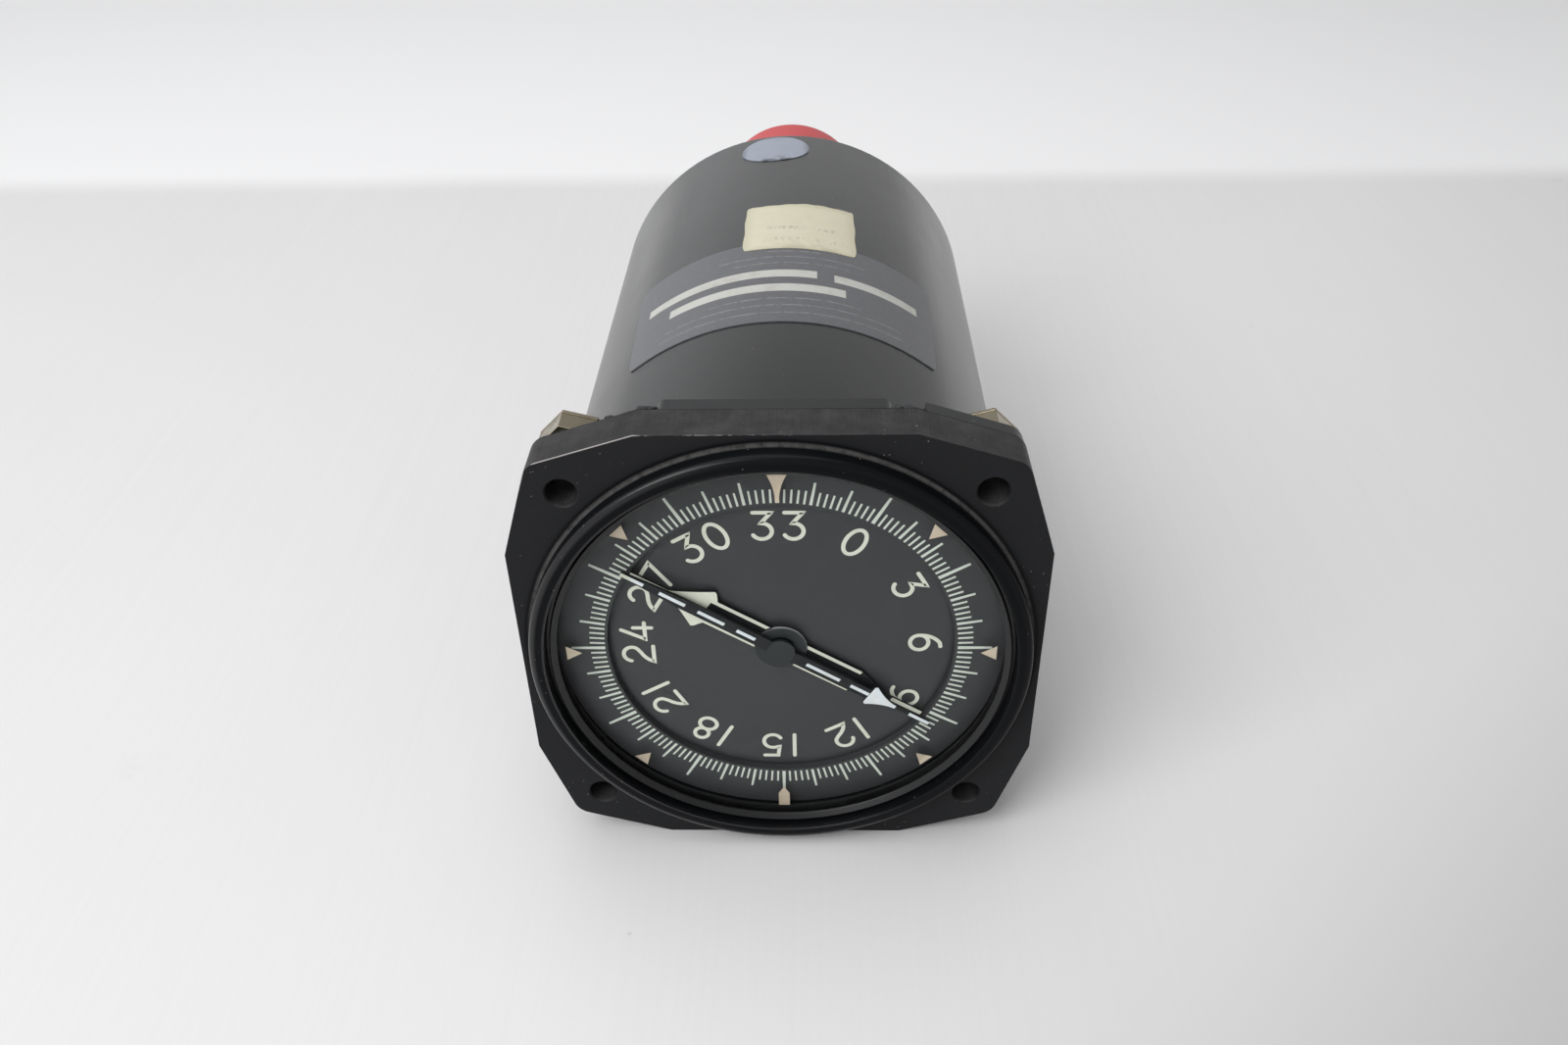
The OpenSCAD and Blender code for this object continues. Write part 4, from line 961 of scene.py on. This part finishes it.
@dataclass
class Numerals:
    """The card's numerals as painted strokes, in millimetres.

    A digit is a few strokes in a box one unit high, each a list of points on its middle line.

    Attributes:
        height: Of a digit.
        stroke: Half the width of a stroke.
        coat: How far the paint stands off the card.
        layer: How much further a digit's second stroke stands off than its first.
        spacing: Between two digits' centres.
        narrow: How much closer a one stands.
    """

    height: float = 4.9
    stroke: float = 0.325
    coat: float = 0.05
    layer: float = 0.004
    spacing: float = 4.8
    narrow: float = 1.0

    @staticmethod
    def arc(cx: float, cz: float, rx: float, rz: float, start: float, end: float,
            steps: int) -> Grid:
        """Points of an ellipse from start to end, in degrees counter-clockwise from +x."""
        a = np.radians(np.linspace(start, end, steps))
        return np.stack([cx + rx * np.cos(a), cz + rz * np.sin(a)], -1)

    @staticmethod
    def line(*points: tuple[float, float]) -> Grid:
        """Points of straight legs, in the order given."""
        return np.array(points, float)

    def strokes(self, digit: int) -> list[Grid]:
        """The middle lines of one digit, about its centre, in units of its height.

        Args:
            digit: From 0 to 9.

        Returns:
            The points of each stroke.
        """
        arc, line = self.arc, self.line
        six = [arc(0, -0.2, 0.31, 0.3, 90, 450, 40),
               np.vstack([line((0.17, 0.5)), arc(0.32, -0.14, 0.63, 0.7, 118, 178, 16)])]
        return [
            [arc(0, 0, 0.3, 0.5, 90, 450, 48)],
            [line((0, 0.5), (0, -0.5))],
            [np.vstack([arc(-0.01, 0.21, 0.3, 0.29, 170, -28, 26),
                        line((0.2, 0.02), (0.08, -0.07), (-0.06, -0.15), (-0.18, -0.25),
                             (-0.27, -0.36), (-0.33, -0.5), (0.33, -0.5))])],
            [np.vstack([line((-0.29, 0.5), (0.27, 0.5), (-0.05, 0.1)),
                        arc(-0.02, -0.2, 0.31, 0.3, 80, -150, 30)])],
            [line((0.06, 0.5), (-0.33, -0.27), (0.36, -0.27)), line((0.15, 0.1), (0.15, -0.5))],
            [np.vstack([line((0.27, 0.5), (-0.2, 0.5), (-0.25, 0.07)),
                        arc(-0.02, -0.19, 0.31, 0.31, 118, -150, 30)])],
            six,
            [line((-0.29, 0.5), (0.31, 0.5), (-0.12, -0.5))],
            [arc(0, -0.235, 0.3, 0.265, 90, 450, 40), arc(0, 0.265, 0.24, 0.235, 90, 450, 36)],
            [-stroke for stroke in six]][digit]

    def ribbon(self, path: Grid, lift: float) -> tuple[Grid, Grid]:
        """One painted stroke: a flat ribbon with round ends along a path.

        At distance s along the path the surface reaches w(s) to each side of the middle line.
        w is half the stroke, and falls as a circle does past the ends: sqrt(h^2 - d^2).

        Args:
            path: Points of the middle line, in millimetres.
            lift: How far the paint stands off the card, in millimetres.

        Returns:
            The points and the four-cornered faces.
        """
        spacing, sharpest, cap, same, h = 0.4, 0.55, 6, 1e-6, self.stroke
        closed = np.linalg.norm(path[0] - path[-1]) < same
        legs = np.linalg.norm(np.diff(path, axis=0), axis=1)
        run = np.concatenate([[0], np.cumsum(legs)])
        extra = np.linspace(0, run[-1], max(2, int(run[-1] / spacing)))
        s = np.unique(np.concatenate([run, extra]))
        mid = np.stack([np.interp(s, run, path[:, k]) for k in (0, 1)], -1)
        step = np.diff(mid, axis=0)
        step /= np.linalg.norm(step, axis=1)[:, None]
        lead, trail = np.vstack([step[:1], step]), np.vstack([step, step[-1:]])
        if closed:
            lead[0], trail[-1] = lead[-1], trail[0]
        along = lead + trail
        along /= np.linalg.norm(along, axis=1)[:, None]
        side = np.stack([-along[:, 1], along[:, 0]], -1)
        half = h / np.maximum((along * trail).sum(1), sharpest)
        if not closed:
            turn = np.linspace(np.pi / 2, 0, cap + 1)[:-1]
            head = mid[0] - along[0] * (h * np.sin(turn))[:, None]
            tail = mid[-1] + along[-1] * (h * np.sin(turn[::-1]))[:, None]
            mid = np.vstack([head, mid, tail])
            side = np.vstack([np.repeat(side[:1], cap, 0), side, np.repeat(side[-1:], cap, 0)])
            half = np.concatenate([h * np.cos(turn), half, h * np.cos(turn[::-1])])
        left, right = mid + side * half[:, None], mid - side * half[:, None]
        n = len(mid)
        flat = np.vstack([left, right, left, right])
        depth = np.repeat([-lift, -lift, 0, 0], n)
        a = np.arange(n - 1)
        b, c, d = a + n, a + 2 * n, a + 3 * n
        faces = np.vstack([np.stack([a, b, b + 1, a + 1], 1), np.stack([c + 1, d + 1, d, c], 1),
                           np.stack([a + 1, c + 1, c, a], 1), np.stack([b, d, d + 1, b + 1], 1)])
        return np.stack([flat[:, 0], depth, flat[:, 1]], -1), faces

    def mesh(self, radius: float, face: float, heading: float) -> bpy.types.Mesh:
        """All twelve numerals on the card, their tops outwards.

        Args:
            radius: Distance of a numeral's centre from the axis.
            face: Depth of the card's face.
            heading: Degrees under the lubber line.

        Returns:
            The mesh.
        """
        all_points, all_faces, count = [], [], 0
        for number in range(0, 36, 3):
            text = str(number)
            turn = math.radians(number * 10 - heading)
            step = self.spacing - (self.narrow if "1" in text else 0)
            for place, letter in enumerate(text):
                shift = (place - (len(text) - 1) / 2) * step
                for layer, stroke in enumerate(self.strokes(int(letter))):
                    path = stroke * self.height + (shift, radius)
                    points, faces = self.ribbon(path, self.coat + self.layer * layer)
                    x, z = points[:, 0].copy(), points[:, 2].copy()
                    points[:, 0] = x * math.cos(turn) + z * math.sin(turn)
                    points[:, 2] = z * math.cos(turn) - x * math.sin(turn)
                    points[:, 1] += face
                    all_points.append(points)
                    all_faces.append(faces + count)
                    count += len(points)
        return mesh_of("card_numerals", np.vstack(all_points), np.vstack(all_faces))


@dataclass
class CompassCard(Assembly):
    """Turning card: disc, raised ring, graduations, numerals, hub, bearing and gear."""

    body: str = "compass_card"
    numeral_radius: float = 23.2
    face: float = 3.25
    heading: float = 330

    def build(self) -> None:
        """Builds and dresses the card."""
        coat = {"colour": tone("383739"), "gloss": 0.5, "peel": 0.08, "level": 0.5, "dust": 0.002}
        self.paint(Enamel("card_charcoal", **coat), "graduated_ring")
        # The disc's enamel darkens at the foot of the raised ring: painted shade.
        self.paint(WellEnamel("well_charcoal_shaded", **coat), "card_disc")
        self.paint(Marking("tick_cream", tone("e0e4da"), tone("c2c7b8")), "card_graduations")
        mesh = Numerals().mesh(self.numeral_radius, self.face, self.heading)
        cream = Marking("card_cream", tone("ecebdd"), tone("d2d0ba"))
        self.dress(placed("card_numerals", mesh), cream, "cream_paint")
        self.paint(Metal("gear_brass", BRASS, Grain.TURNED, rough=0.3), "card_hub", "card_gear")
        self.paint(Metal("race_steel", STEEL, Grain.TURNED, rough=0.22, age=0.08),
                   "card_screws", "bearing_inner_race")
        self.paint(Metal("bush_bronze", BRONZE, Grain.TURNED), "hub_bush")


@dataclass
class Pointers(Assembly):
    """Single-bar pointer in front and double-bar pointer behind, with shafts and rotors."""

    def build(self) -> None:
        """Builds and dresses both pointers."""
        black = Enamel("pointer_black", tone("1b1c1e"), gloss=0.45, peel=0.1, level=0.35, dust=0.004)
        # The hub's rim carries a painted highlight on its upper right.
        hub = Enamel("hub_black", tone("2d2f31"), gloss=0.46, peel=0.1, level=0.35, dust=0.003,
                     rim=0.0042)
        white = Marking("pointer_white", tone("eef1f7"), tone("dcdccb"), aged=-0.0222)
        cream = Marking("pointer_cream", tone("eeedde"), tone("d6d2b8"))
        for body, coat in {"single_bar": white, "double_bar": cream}.items():
            blade = softened(f"{body}_pointer", f"{body}_blade", width=0.08)
            self.dress(blade, black, "black_paint", body)
            boss = softened(f"{body}_hub", f"{body}_boss", width=0.1)
            self.dress(boss, hub, "black_paint", body)
            self.paint(coat, f"{body}_paint")
        self.paint(Metal("shaft_steel", STEEL, Grain.TURNED, rough=0.2, age=0.05),
                   "inner_shaft", "hollow_shaft")
        self.paint(Metal("sleeve_bronze", BRONZE, Grain.TURNED), "sleeve_bushes")
        self.paint(Wound("rotor_winding"), "front_rotor", "rear_rotor")


def plate_outline(grid: Grid) -> Grid:
    """Round corners, and sides that splay towards the far edge.

    The corners are drawn in by cut times |u v| to a high power, so only they move.

    Args:
        grid: (u, v) on the square.

    Returns:
        (u, v) on the leaf.
    """
    cut, power, splay = 0.02, 14, 0.02
    u, v = grid[..., 0], grid[..., 1]
    inward = 1 - cut * np.abs(u * v) ** power
    return np.stack([u * (1 + splay * v) / (1 + splay) * inward, v * inward], -1)


def torn_outline(grid: Grid) -> Grid:
    """A hand-torn sheet: v past 0.7 moves by small sines of u, and u past 0.8 by one of v.

    Args:
        grid: (u, v) on the square.

    Returns:
        (u, v) on the leaf.
    """
    cut, power, skew = 0.03, 10, 0.06
    u, v = grid[..., 0].copy(), grid[..., 1].copy()
    v += np.clip(v - 0.7, 0, 1) * (0.07 * np.sin(5 * u + 1) + 0.03 * np.sin(19 * u))
    u += np.clip(np.abs(u) - 0.8, 0, 1) * np.sign(u) * 0.04 * np.sin(7 * v)
    inward = 1 - cut * np.abs(u * v) ** power
    return np.stack([u * inward, v * inward + skew * u * np.clip(v, 0, 1)], -1)


def disc_outline(grid: Grid) -> Grid:
    """The square pressed into a disc: (u, v) times sqrt(1 - v^2/2) and sqrt(1 - u^2/2).

    Args:
        grid: (u, v) on the square.

    Returns:
        (u, v) on the leaf.
    """
    u, v = grid[..., 0], grid[..., 1]
    return np.stack([u * np.sqrt(1 - v * v / 2), v * np.sqrt(1 - u * u / 2)], -1)


@dataclass
class Leaf:
    """A thin closed leaf wrapped on the case, in millimetres and degrees.

    Both skins run over a square of (u, v) from -1 to 1. outline moves the square's points, so
    that corners can be round or an edge torn.

    Attributes:
        centre: Degrees from the top, and depth, of the middle.
        half: Half the arc in degrees and half the length.
        inner: Radius of the inner skin, which lies on the case.
        thick: Its thickness.
        outline: Gives (u, v) on the leaf for (u, v) on the square.
        scale: What a unit of u and v is on the UV map.
        steps: Points each way.
    """

    centre: tuple[float, float]
    half: tuple[float, float]
    inner: float
    thick: float
    outline: Callable[[Grid], Grid]
    scale: tuple[float, float] = (1, 1)
    steps: int = 64

    def piece(self, name: str) -> bpy.types.Object:
        """Builds the leaf: two skins of steps times steps points, joined round their rims.

        Args:
            name: The piece's name.

        Returns:
            The object.
        """
        t = np.linspace(-1, 1, self.steps)
        leaf = self.outline(np.stack(np.meshgrid(t, t, indexing="ij"), -1))
        turn = np.radians(self.centre[0] + leaf[..., 0] * self.half[0])
        depth = self.centre[1] + leaf[..., 1] * self.half[1]
        skins = [np.stack([radius * np.sin(turn), depth, radius * np.cos(turn)], -1)
                 for radius in (self.inner + self.thick, self.inner)]
        below = self.steps ** 2
        index = np.arange(below).reshape(self.steps, self.steps)
        skin = np.stack([index[:-1, :-1], index[1:, :-1], index[1:, 1:], index[:-1, 1:]], -1)
        rim = np.concatenate([index[0, :-1], index[:-1, -1], index[-1, :0:-1], index[:0:-1, 0]])
        ahead = np.roll(rim, -1)
        side = np.stack([rim, ahead, ahead + below, rim + below], -1)
        skin = skin.reshape(-1, 4)
        mesh = mesh_of(name, np.stack(skins), np.vstack([skin, skin[:, ::-1] + below, side]))
        corner = np.zeros(len(mesh.loops), np.int32)
        mesh.loops.foreach_get("vertex_index", corner)
        flat = (leaf * self.scale).reshape(-1, 2)[corner % below]
        mesh.uv_layers.new(name=UV_MAP).data.foreach_set("uv", flat.astype(np.float32).ravel())
        return placed(name, mesh)


@dataclass
class Case(Assembly):
    """Can, flange plate, nuts, data plate, paper label, round sticker and bits of sealant."""

    radius: float = 39.6
    paper: float = 0.11

    def build(self) -> None:
        """Builds and dresses the case."""
        grey = Enamel("case_enamel", tone("191a1a"), gloss=0.25, peel=0.08, level=0.7, dust=0.006,
                      film=0.006)
        self.dress(softened("case_can", "case_shell", width=0.12), grey, "case_paint")
        black = Enamel("flange_plate_enamel", tone("1b1c1d"), gloss=0.34, peel=0.3, level=0.5,
                       dust=0.02, film=0.01)
        plate = softened("case_flange", "case_flange_plate", width=0.3, segments=3)
        self.dress(plate, black, "case_paint")
        brass = Metal("nut_brass", tone("aba18c"), Grain.POLISHED, rough=0.2,
                      tarnish=tone("3b3325"), age=0.45)
        self.dress(softened("panel_nuts", "hexagon_nuts", width=0.16), brass, "brass")
        self.data_plate()
        self.paper_label()
        self.round_sticker()
        self.sealant()

    def data_plate(self) -> None:
        """Foil plate across the top, with its boxes and rules left bare of words."""
        left, right, low, high, thick, steps = -43.0, 42.9, 38.1, 70.2, 0.19, 72
        arc = math.radians(1) * self.radius
        half = ((right - left) / 2, (high - low) / 2)
        centre = ((left + right) / 2, (low + high) / 2)
        boxes = ((-26.0, 6.0, 55.3, 58.2), (9.1, 25.4, 54.9, 57.8), (-20.8, 11.1, 49.6, 52.5))
        rules = ((-22, 22, 41.4), (-21, 21.5, 44.2), (-13, 13.5, 46.8), (-9, 12.0, 61.2),
                 (-12, 15.0, 63.8), (-3, 6.5, 66.2))
        u0, v0 = centre[0] * arc, centre[1]
        foil = PrintedFoil(
            "data_plate_foil",
            boxes=tuple((a - u0, b - u0, c - v0, d - v0) for a, b, c, d in boxes),
            rules=tuple((a - u0, b - u0, c - v0) for a, b, c in rules))
        piece = Leaf(centre, half, self.radius, thick, plate_outline, (half[0] * arc, half[1]),
                     steps).piece("data_plate_leaf")
        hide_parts("data_plate")
        self.dress(piece, foil, "foil")

    def paper_label(self) -> None:
        """Cream label behind the plate, on the plate's edge, with a ragged far edge."""
        centre, half, on_plate = (4.1, 77.9), (15.3, 10.5), 39.8
        piece = Leaf(centre, half, on_plate, self.paper, torn_outline).piece("paper_label")
        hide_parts("labels")
        paper = AgedPaper("label_paper", tone("d3cfb7"), tone("9a9078"), smudge=0.25, faded=0.4,
                          edge=0.25)
        self.dress(piece, paper, "paper")

    def round_sticker(self) -> None:
        """Round pale sticker by the case's end."""
        reach = 7.3
        half = (math.degrees(math.asin(reach / self.radius)), reach)
        leaf = Leaf((-4.3, 121.0), half, self.radius, self.paper, disc_outline)
        paper = AgedPaper("sticker_paper", tone("9da4b0"), tone("4d5056"), smudge=0.95)
        self.dress(leaf.piece("round_sticker"), paper, "paper")

    def sealant(self) -> None:
        """Crumbs of old sealant on the joint behind the casting: squashed wavy balls.

        A crumb is where it lies across, up and back, and its size. None stands above the flange.
        """
        crumbs = ((-19.4, 40.75, 8.3, 1.1), (-18.1, 40.85, 8.1, 0.7), (17.6, 40.8, 8.2, 0.9),
                  (19.2, 40.6, 8.4, 1.2), (-24.5, 39.3, 8.2, 0.8), (21.4, 40.2, 8.3, 0.6))
        deep, tall, top = 0.5, 0.38, 41.26
        a = np.linspace(0, np.pi, 9)[:, None]
        b = np.linspace(0, 2 * np.pi, 14, endpoint=False)[None, :]
        paint = Enamel("sealant_skin", tone("26282a"), gloss=0.6, peel=0.6)
        for number, (x, z, y, size) in enumerate(crumbs):
            wave = 1 + 0.18 * np.sin(3 * b + number) * np.sin(2 * a) + 0.1 * np.cos(5 * a + number)
            ball = np.stack([x + size * wave * np.sin(a) * np.cos(b),
                             y + deep * size * wave * np.cos(a) + 0 * b,
                             np.minimum(z + tall * wave * np.sin(a) * np.sin(b), top)], -1)
            self.dress(surface(f"sealant_crumb_{number}", ball, around=True), paint, "case_paint")


@dataclass
class RearConnector(Assembly):
    """Connector shell, insert, pins and screws, and the red cap that pushes over it."""

    centre: float = 18.0
    cap: float = 17.0
    wall: float = 1.1

    def build(self) -> None:
        """Builds and dresses the connector."""
        olive = Metal("olive_passivated", tone("9b9c7c"), Grain.TURNED, rough=0.4,
                      tarnish=tone("5b5c3c"), age=0.3)
        self.paint(olive, "connector_shell")
        self.paint(Moulded("insert_rubber", tone("2b2c2a"), rough=0.55), "connector_insert")
        self.paint(Metal("pin_gold", tone("dcb767"), Grain.TURNED, rough=0.22), "connector_pins")
        self.paint(Metal("screw_steel", tone("b4b5b3"), Grain.TURNED), "connector_screws")
        self.dust_cap()

    def dust_cap(self) -> None:
        """Soft red cap: a rounded cup profile with a lip, carried round the connector's axis."""
        front, floor, back = 130.6, 151.5, 152.6
        lip, step, side, dish = front + 2.0, front + 2.4, self.cap - 0.25, back - 0.3
        bore = self.cap - self.wall
        shape = rounded([(0, floor, 0), (bore, floor, 0.8), (bore, front, 0.25),
                         (self.cap, front, 0.3), (self.cap, lip, 0.3), (side, step, 0.3),
                         (side, back, 1.8), (3.0, back, 0.6), (2.4, dish, 0.4), (0, dish, 0)])
        shape[:, 0] = np.maximum(shape[:, 0], 0)
        piece = lathe("red_dust_cap", shape, (0, self.centre))
        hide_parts("dust_cap")
        red = Moulded("cap_red", tone("cb2930"), rough=0.32, skin=900, soft=0.12)
        self.dress(piece, red, "red_plastic", "dust_cap")


@dataclass
class Mechanism(Assembly):
    """Frame plates, synchros, motor, gears and amplifier inside the case."""

    def build(self) -> None:
        """Dresses every inner node."""
        self.paint(Metal("plate_aluminium", tone("b8babc"), Grain.MILLED, rough=0.36, age=0.1),
                   "bearing_plate", "gear_plate", "middle_plate", "rear_plate")
        self.paint(Metal("drawn_aluminium", tone("a9abad"), Grain.DRAWN, rough=0.34, age=0.12),
                   "front_synchro_housing", "rear_synchro_housing", "transformer_housing",
                   "motor_housing")
        self.paint(Metal("arbor_steel", STEEL, Grain.TURNED, rough=0.24, age=0.08),
                   "plate_screws", "tie_rods", "tie_rod_nuts", "motor_rotor",
                   "intermediate_pinion", "bearing_outer_race", "bearing_balls")
        self.paint(Metal("wheel_brass", BRASS, Grain.TURNED, rough=0.3),
                   "spacer_tubes", "transformer_gear", "intermediate_wheel")
        self.paint(Metal("bearing_bronze", BRONZE, Grain.TURNED), "synchro_bushes", "arbor_bushes")
        self.paint(Wound("stator_winding"), "front_synchro_stator", "rear_synchro_stator",
                   "transformer_rotor")
        self.paint(Moulded("board_laminate", tone("4d6a3f"), rough=0.4, skin=2200, coat=0.3),
                   "amplifier_board")
        self.paint(Moulded("component_varnish", tone("8a7a5a"), rough=0.35, skin=1200, coat=0.4),
                   "board_components")


@dataclass
class Studio:
    """Table, lamps, sky and camera, as in a plain product photograph.

    Attributes:
        slope: Rise of the table for each millimetre back.
        foot: Height of the table under the flange's lower edge, in millimetres.
        rest: Depth of that edge.
        reach: Half the table's width.
        back: How far the table's middle lies behind the panel plane.
        lens: The camera's focal length, on a sensor's width.
        clip: Nearest distance that it shows, in metres.
        place: The camera's place in millimetres; yaw, pitch and roll are in radians.
    """

    slope: float = 0.0141
    foot: float = -41.275
    rest: float = 10.1
    reach: float = 3000
    back: float = 50
    lens: float = 29.41
    sensor: float = 36
    clip: float = 0.005
    place: tuple[float, float, float] = (5.83256, -153.20465, 136.14080)
    yaw: float = -0.0315901
    pitch: float = 0.62245
    roll: float = 0.0213927

    def build(self) -> None:
        """Builds the set."""
        self.table()
        self.sky()
        self.lamp("window_light", (-0.58, -0.62, 0.76), (0, 0, 0), size=0.7, power=8.0)
        self.lamp("ceiling_light", (-0.12, 0.12, 1.1), (0, 0.05, 0), size=0.9, power=4.2)
        self.camera()

    def table(self) -> None:
        """The table: a plane through the flange's lower edge and the case's rear end."""
        t = np.linspace(-1, 1, 9) * self.reach
        x, y = np.meshgrid(t, t + self.back, indexing="ij")
        z = self.foot + (y - self.rest) * self.slope
        piece = surface("table_top", np.stack([x, y, z], -1))
        film = Tabletop("table_film", near=(0.8, 0.795, 0.8), far=(0.95, 0.95, 0.955), edge=0.303)
        piece.data.materials.append(film.material())

    def sky(self) -> None:
        """Soft surroundings, brighter on the left and above than on the right."""
        s = Sheet("surroundings", sky=True)
        bpy.context.scene.world = s.owner
        x, _, z = s.axes()
        across = x.rise(-0.9, 1.0)
        low = s.blend(across, (0.95, 0.96, 0.98), (0.5, 0.5, 0.5))
        high = s.blend(across, (0.6, 0.605, 0.615), (0.3, 0.3, 0.3))
        colour = s.blend(z.rise(0.36, 0.6), low, high)
        ground = s.node("ShaderNodeBackground", None, {"Color": colour, "Strength": 0.82})
        s.tree.links.new(ground.outputs[0], s.out.inputs[0])

    def lamp(self, name: str, place: tuple[float, float, float],
             target: tuple[float, float, float], size: float, power: float) -> None:
        """A large soft square lamp that faces a point.

        Args:
            name: The lamp's name.
            place: Where it is, in metres.
            target: The point that it faces.
            size: Its side.
            power: Its power in watts.
        """
        data = bpy.data.lights.new(name, "AREA")
        data.size, data.energy = size, power
        made = bpy.data.objects.new(name, data)
        made.location = place
        aim = Vector(target) - Vector(place)
        made.rotation_euler = aim.to_track_quat("-Z", "Y").to_euler()
        bpy.context.scene.collection.objects.link(made)

    def camera(self) -> None:
        """The camera, from its place and its yaw, pitch and roll."""
        ahead = np.array([math.sin(self.yaw) * math.cos(self.pitch),
                          math.cos(self.yaw) * math.cos(self.pitch), -math.sin(self.pitch)])
        level = np.array([math.cos(self.yaw), -math.sin(self.yaw), 0.0])
        down = np.cross(ahead, level)
        turn = np.eye(4)
        turn[:3, 0] = math.cos(self.roll) * level + math.sin(self.roll) * down
        turn[:3, 1] = math.sin(self.roll) * level - math.cos(self.roll) * down
        turn[:3, 2] = -ahead
        turn[:3, 3] = np.array(self.place) * MM
        data = bpy.data.cameras.new("camera")
        data.lens, data.sensor_width, data.clip_start = self.lens, self.sensor, self.clip
        made = bpy.data.objects.new("camera", data)
        made.matrix_world = Matrix(turn.tolist())
        scene = bpy.context.scene
        scene.collection.objects.link(made)
        scene.camera = made
        scene.view_settings.view_transform = "Standard"


def main() -> None:
    """Builds each sub-assembly in order."""
    logging.basicConfig(level=logging.INFO, format="%(name)s %(message)s")
    for part in (Studio(), Front(), CompassCard(), Pointers(), Case(), RearConnector(), Mechanism()):
        LOG.info("%s", type(part).__name__)
        part.build()


if __name__ == "__main__":
    main()
